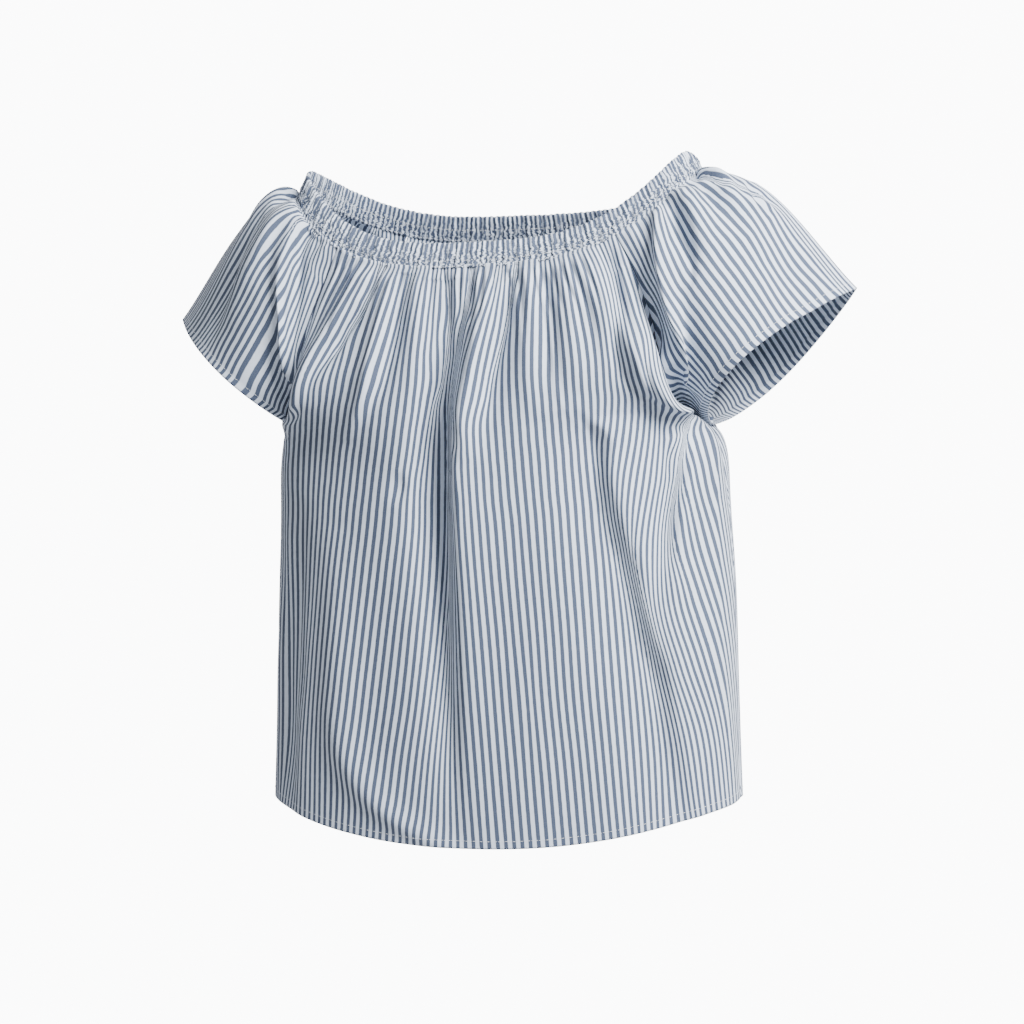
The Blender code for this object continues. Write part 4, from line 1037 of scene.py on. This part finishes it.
def stitch_row(name, points, normals, stitch, gap, radius, lift, material, wander, seed):
    """A row of sewing stitches: short flattened threads that dip into the cloth at both ends."""
    draw = np.random.default_rng(seed)
    steps = np.linalg.norm(np.diff(points, axis=0), axis=1)
    reach = np.concatenate(([0.0], np.cumsum(steps)))

    def at(places, values):
        return np.stack([np.interp(places, reach, values[:, axis]) for axis in range(3)], axis=-1)

    shares, heights, widths = STITCH_SHARES, STITCH_HEIGHTS, STITCH_WIDTHS
    around = np.linspace(0.0, 2.0 * math.pi, SPOKES, endpoint=False)
    cosines, sines = np.cos(around)[:, None], np.sin(around)[:, None]
    all_points = []
    faces = []
    for start in np.arange(gap, reach[-1] - stitch, stitch + gap):
        places = start + shares * stitch
        centre = at(places, points)
        normal = unit(at(places, normals))
        side = unit(np.cross(normal, unit(np.gradient(centre, axis=0))))
        centre = centre + normal * (lift * heights)[:, None]
        stray = wander * draw.uniform(-1.0, 1.0)
        stray = stray + wander * 0.5 * (shares - 0.5) * draw.uniform(-1.0, 1.0)
        centre = centre + side * stray[:, None]
        first = len(all_points)
        for i, width in enumerate(widths):
            ring = (cosines * side[i] * radius * width + sines * normal[i] * radius * FLATTENED * width)
            all_points.extend((centre[i] + ring).tolist())
        for ring in range(len(shares) - 1):
            for spoke in range(SPOKES):
                a = first + ring * SPOKES + spoke
                b = first + ring * SPOKES + (spoke + 1) % SPOKES
                faces.append((a, b, b + SPOKES, a + SPOKES))
        last = first + (len(shares) - 1) * SPOKES
        faces.append(tuple(range(first, first + SPOKES))[::-1])
        faces.append(tuple(range(last, last + SPOKES)))
    mesh = bpy.data.meshes.new(name)
    mesh.from_pydata(all_points, [], faces)
    mesh.shade_smooth()
    mesh.materials.append(material)
    mesh.update()
    piece = bpy.data.objects.new(name, mesh)
    bpy.context.scene.collection.objects.link(piece)
    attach(piece, "root")
    return piece


def math_node(tree, operation, first, second=None, third=None):
    """A math node whose inputs are sockets or numbers; returns its output."""
    node = tree.nodes.new("ShaderNodeMath")
    node.operation = operation
    for socket, value in zip(node.inputs, (first, second, third)):
        if value is None:
            continue
        if isinstance(value, (int, float)):
            socket.default_value = value
        else:
            tree.links.new(value, socket)
    return node.outputs[0]


def noise_node(tree, vector, scale, detail, roughness):
    """Noise over a vector; returns its value output."""
    node = tree.nodes.new("ShaderNodeTexNoise")
    node.inputs["Scale"].default_value = scale
    node.inputs["Detail"].default_value = detail
    node.inputs["Roughness"].default_value = roughness
    tree.links.new(vector, node.inputs["Vector"])
    return node.outputs[0]


def set_inputs(node, **values):
    """Set a node's unlinked inputs by name."""
    for key, value in values.items():
        node.inputs[key.replace("_", " ")].default_value = value


def cloth_noise(tree, cut, scales, detail, roughness):
    """Noise over the flat cut, with a scale across and one down; returns its value output."""
    node = tree.nodes.new("ShaderNodeCombineXYZ")
    for place, scale, axis in zip(cut, scales, "XY"):
        tree.links.new(math_node(tree, "MULTIPLY", place, scale), node.inputs[axis])
    return noise_node(tree, node.outputs[0], 1.0, detail, roughness)


def clamped(tree, value, factor, offset):
    """The value times a factor plus an offset, kept between 0 and 1."""
    value = math_node(tree, "MULTIPLY_ADD", value, factor, offset)
    return math_node(tree, "MINIMUM", math_node(tree, "MAXIMUM", value, 0.0), 1.0)


def range_node(tree, value, limits, kind="SMOOTHSTEP"):
    """Carry a value from one range to another: limits say from low, from high, to low, to high."""
    node = tree.nodes.new("ShaderNodeMapRange")
    node.interpolation_type = kind
    for name, limit in zip(("From Min", "From Max", "To Min", "To Max"), limits):
        node.inputs[name].default_value = limit
    tree.links.new(value, node.inputs["Value"])
    return node.outputs[0]


def bump_node(tree, height, strength, distance):
    """A bump over a height in metres; returns the node."""
    bump = tree.nodes.new("ShaderNodeBump")
    set_inputs(bump, Strength=strength, Distance=distance)
    tree.links.new(height, bump.inputs["Height"])
    return bump


def new_material(name, **values):
    """A node material with its shader's plain inputs set; returns it, its tree and its shader."""
    material = bpy.data.materials.new(name)
    material.use_nodes = True
    shader = material.node_tree.nodes["Principled BSDF"]
    set_inputs(shader, **values)
    return material, material.node_tree, shader


def mix_colour(tree, share, first, second):
    """Mix two colours, each a socket or an RGB value; returns the colour output."""
    node = tree.nodes.new("ShaderNodeMix")
    node.data_type = "RGBA"
    for socket, value in ((node.inputs[0], share), (node.inputs[6], first), (node.inputs[7], second)):
        if isinstance(value, (int, float)):
            socket.default_value = value
        elif isinstance(value, tuple):
            socket.default_value = (*value, 1.0)
        else:
            tree.links.new(value, socket)
    return node.outputs[2]


WHITE_YARN = (0.66, 0.74, 0.88)
DULL_WHITE = tuple(channel * 0.93 for channel in WHITE_YARN)
BLUE_YARN = (0.040, 0.055, 0.100)
PALE_YARN = (0.122, 0.156, 0.228)
WARP_STEP = 0.00042
WEFT_STEP = 0.00046


def striped_cotton(name, pucker, gathered=False):
    """Shirting: a plain white stripe and an equal one woven end-on-end in blue and pale threads, the blue
    widened on the gathered casing as painted shade.
    """
    material, tree, shader = new_material(name, Specular_IOR_Level=0.25, Sheen_Weight=0.05,
                                          Sheen_Roughness=0.5)
    cut = tree.nodes.new("ShaderNodeUVMap")
    cut.uv_map = "flat_cut"
    split = tree.nodes.new("ShaderNodeSeparateXYZ")
    tree.links.new(cut.outputs[0], split.inputs[0])
    across, down = split.outputs[0], split.outputs[1]
    if gathered:
        # The rows of elastic stitching crumple the cloth, most of all towards the casing's lower edge
        near = range_node(tree, math_node(tree, "ABSOLUTE", down), (0.004, 0.015, 0.25, 1.0), "LINEAR")
        jumble = cloth_noise(tree, (across, down), (420.0, 620.0), 2.0, 0.6)
        jumble = math_node(tree, "MULTIPLY", math_node(tree, "SUBTRACT", jumble, 0.5), near)
        across = math_node(tree, "MULTIPLY_ADD", jumble, 0.009, across)
    # A stripe's edge strays by a thread here and there
    stray = cloth_noise(tree, (across, down), (300.0, 160.0), 2.0, 0.5)
    strayed = math_node(tree, "MULTIPLY_ADD", stray, 0.06, math_node(tree, "MULTIPLY", across, 1.0 / STRIPE))
    wave = math_node(tree, "COSINE", math_node(tree, "MULTIPLY", strayed, 2.0 * math.pi))
    # Pleats of the gathered cloth hide some of the white; beyond that, the casing's blue is widened as
    # painted shade, darkening it as the shadow between its puckers would
    stripe = clamped(tree, wave, 3.2, 1.6 if gathered else 0.5)
    # Single threads: blue and pale ones side by side, each broken up along its length
    threads = cloth_noise(tree, (across, down), (2600.0, 900.0), 3.0, 0.65)
    slubs = cloth_noise(tree, (across, down), (900.0, 60.0), 2.0, 0.5)
    blue_stripe = mix_colour(tree, clamped(tree, threads, 1.5, -0.42), BLUE_YARN, PALE_YARN)
    white_stripe = mix_colour(tree, slubs, WHITE_YARN, DULL_WHITE)
    tree.links.new(mix_colour(tree, stripe, white_stripe, blue_stripe), shader.inputs["Base Color"])
    # Weave: warp and weft threads, with slubs, and a faint crumple
    warp = math_node(tree, "SINE", math_node(tree, "MULTIPLY", across, 2.0 * math.pi / WARP_STEP))
    weft = math_node(tree, "SINE", math_node(tree, "MULTIPLY", down, 2.0 * math.pi / WEFT_STEP))
    weave = math_node(tree, "MULTIPLY_ADD", math_node(tree, "MULTIPLY", warp, weft), 0.5, threads)
    crumple = cloth_noise(tree, (across, down), (120.0, 70.0), 3.0, 0.5)
    if gathered:
        crumple = math_node(tree, "MULTIPLY_ADD", jumble, 1.6, crumple)
    fine = bump_node(tree, weave, 0.35, 0.00012)
    soft = bump_node(tree, crumple, 0.9 if gathered else 0.5, pucker)
    tree.links.new(fine.outputs[0], soft.inputs["Normal"])
    tree.links.new(soft.outputs[0], shader.inputs["Normal"])
    tree.links.new(math_node(tree, "MULTIPLY_ADD", threads, 0.12, 0.82), shader.inputs["Roughness"])
    material.diffuse_color = (*PALE_YARN, 1.0)
    return material


def thread_material():
    """White sewing thread with a fine twist."""
    material, tree, shader = new_material("sewing_thread", Roughness=0.7)
    place = tree.nodes.new("ShaderNodeTexCoord")
    noise = noise_node(tree, place.outputs["Object"], 2600.0, 2.0, 0.5)
    colour = mix_colour(tree, noise, (0.80, 0.83, 0.88), (0.62, 0.67, 0.76))
    tree.links.new(colour, shader.inputs["Base Color"])
    tree.links.new(bump_node(tree, noise, 0.4, 0.0001).outputs[0], shader.inputs["Normal"])
    return material


def place_object(name, data, right, up, back, place):
    """Link an object with the given axes and place, and return it."""
    thing = bpy.data.objects.new(name, data)
    matrix = Matrix.Identity(4)
    for axis, vector in enumerate((right, up, back, place)):
        for row in range(3):
            matrix[row][axis] = vector[row]
    thing.matrix_world = matrix
    bpy.context.scene.collection.objects.link(thing)
    return thing


def build_camera():
    """The camera at the photograph's viewing angle and distance."""
    azimuth, elevation = CAMERA_AZIMUTH, CAMERA_ELEVATION
    back = np.array((math.sin(azimuth) * math.cos(elevation), -math.cos(azimuth) * math.cos(elevation),
                     math.sin(elevation)))
    right = unit(np.cross(-back, (0.0, 0.0, 1.0)))
    up = np.cross(right, -back)
    cosine, sine = math.cos(CAMERA_ROLL), math.sin(CAMERA_ROLL)
    right, up = right * cosine + up * sine, up * cosine - right * sine
    place = np.array(CAMERA_TARGET) + back * CAMERA_DISTANCE
    data = bpy.data.cameras.new("camera")
    data.sensor_width = SENSOR
    data.lens = SENSOR * CAMERA_DISTANCE / (METRES_PER_PIXEL * FRAME_PIXELS)
    bpy.context.scene.camera = place_object("camera", data, right, up, back, place)


def area_light(name, place, target, size, power, colour):
    """A square soft light aimed at a point."""
    data = bpy.data.lights.new(name, "AREA")
    data.size = size
    data.energy = power
    data.color = colour
    back = unit(np.array(place, dtype=float) - np.array(target, dtype=float))
    right = unit(np.cross((0.0, 0.0, 1.0), back))
    place_object(name, data, right, np.cross(back, right), back, place)


def floor_material():
    """Pale matt paint that fades out towards the floor's edge."""
    material, tree, shader = new_material("pale_floor", Base_Color=(0.8, 0.8, 0.8, 1.0), Roughness=0.9,
                                          Specular_IOR_Level=0.0)
    place = tree.nodes.new("ShaderNodeTexCoord")
    distance = tree.nodes.new("ShaderNodeVectorMath")
    distance.operation = "LENGTH"
    tree.links.new(place.outputs["Object"], distance.inputs[0])
    fade = range_node(tree, distance.outputs["Value"], (0.9, 1.45, 1.0, 0.0))
    tree.links.new(fade, shader.inputs["Alpha"])
    return material


def facing(tree, direction, towards, limits):
    """A value for each direction of view: darkest away from the given one, brightest along it."""
    dot = tree.nodes.new("ShaderNodeVectorMath")
    dot.operation = "DOT_PRODUCT"
    tree.links.new(direction, dot.inputs[0])
    dot.inputs[1].default_value = tuple(unit(np.array(towards, dtype=float)))
    return range_node(tree, dot.outputs["Value"], limits)


def build_surround():
    """A surround that is bright behind the top, as a lit white wall, and soft elsewhere."""
    world = bpy.data.worlds.new("surround")
    world.use_nodes = True
    tree = world.node_tree
    background = tree.nodes["Background"]
    direction = tree.nodes.new("ShaderNodeTexCoord").outputs["Generated"]
    ahead = (-math.sin(CAMERA_AZIMUTH), math.cos(CAMERA_AZIMUTH), 0.0)
    wall = facing(tree, direction, ahead, (0.86, 0.925, 0.0, WALL_LIGHT))
    soft = facing(tree, direction, KEY_PLACE, (-1.0, 1.0, DIM_SIDE, LIT_SIDE))
    tree.links.new(math_node(tree, "ADD", wall, soft), background.inputs["Strength"])
    background.inputs["Color"].default_value = (0.98, 0.99, 1.0, 1.0)
    bpy.context.scene.world = world


def build_studio():
    """A pale floor well below the floating top, the surround, and two soft lights."""
    mesh = bpy.data.meshes.new("floor")
    turns = np.linspace(0.0, 2.0 * math.pi, 96, endpoint=False)
    edge = [(FLOOR_RADIUS * math.cos(turn), FLOOR_RADIUS * math.sin(turn), 0.0) for turn in turns]
    mesh.from_pydata(edge, [], [tuple(range(len(edge)))])
    mesh.materials.append(floor_material())
    floor = bpy.data.objects.new("floor", mesh)
    floor.location = (0.0, 0.0, FLOOR_LEVEL)
    bpy.context.scene.collection.objects.link(floor)
    build_surround()
    area_light("key", KEY_PLACE, LIGHT_TARGET, 1.0, KEY_POWER, (1.0, 0.99, 0.97))
    area_light("fill", FILL_PLACE, LIGHT_TARGET, 1.6, FILL_POWER, (0.96, 0.98, 1.0))


build_camera()
build_studio()
panel_cloth = striped_cotton("striped_shirting", 0.0004)
# The casing's cloth has its blue stripes widened over the white as painted shade between its puckers
casing_cloth = striped_cotton("striped_casing", 0.0016, gathered=True)
thread = thread_material()

panels = build_panels()
for name, panel in panels.items():
    sleeve = name.startswith("sleeve")
    grid, across, down = tuck(panel["grid"], panel["normals"], panel["across"], panel["down"])
    grid = tilt(grid)
    if not faces_out(name, grid_normals(grid)):
        grid, across, down = grid[:, ::-1], across[:, ::-1], down[:, ::-1]
    thick = shell_thickness(*grid.shape[:2], CUFF_ROWS if sleeve else HEM_ROWS)
    mesh = cloth_mesh(name + "_cloth", grid, thick, across, down)
    add_cloth(name + "_cloth", mesh, panel_cloth, "striped_cloth", name)

casing, casing_grid = build_casing(casing_cloth)

for number, (row, side) in enumerate(SEWN_ROWS):
    points = casing_grid[row]
    run = np.gradient(np.concatenate((points[-3:-1], points, points[1:3])), axis=0)[2:-2]
    stitch_row("casing_stitches_%d" % number, points, level_outward(run) * side,
                                      1.7 * MM, 1.0 * MM, 0.22 * MM, 0.30 * MM, thread, 0.55 * MM,
                                      11 + number)

for name, panel in panels.items():
    row = panel["stitch_row"]
    points = tilt(panel["grid"][row])
    stitch_row(name + "_hem_stitches", points, panel["normals"][row], 2.5 * MM, 0.7 * MM,
                                0.17 * MM, 0.16 * MM, thread, 0.08 * MM, 5)
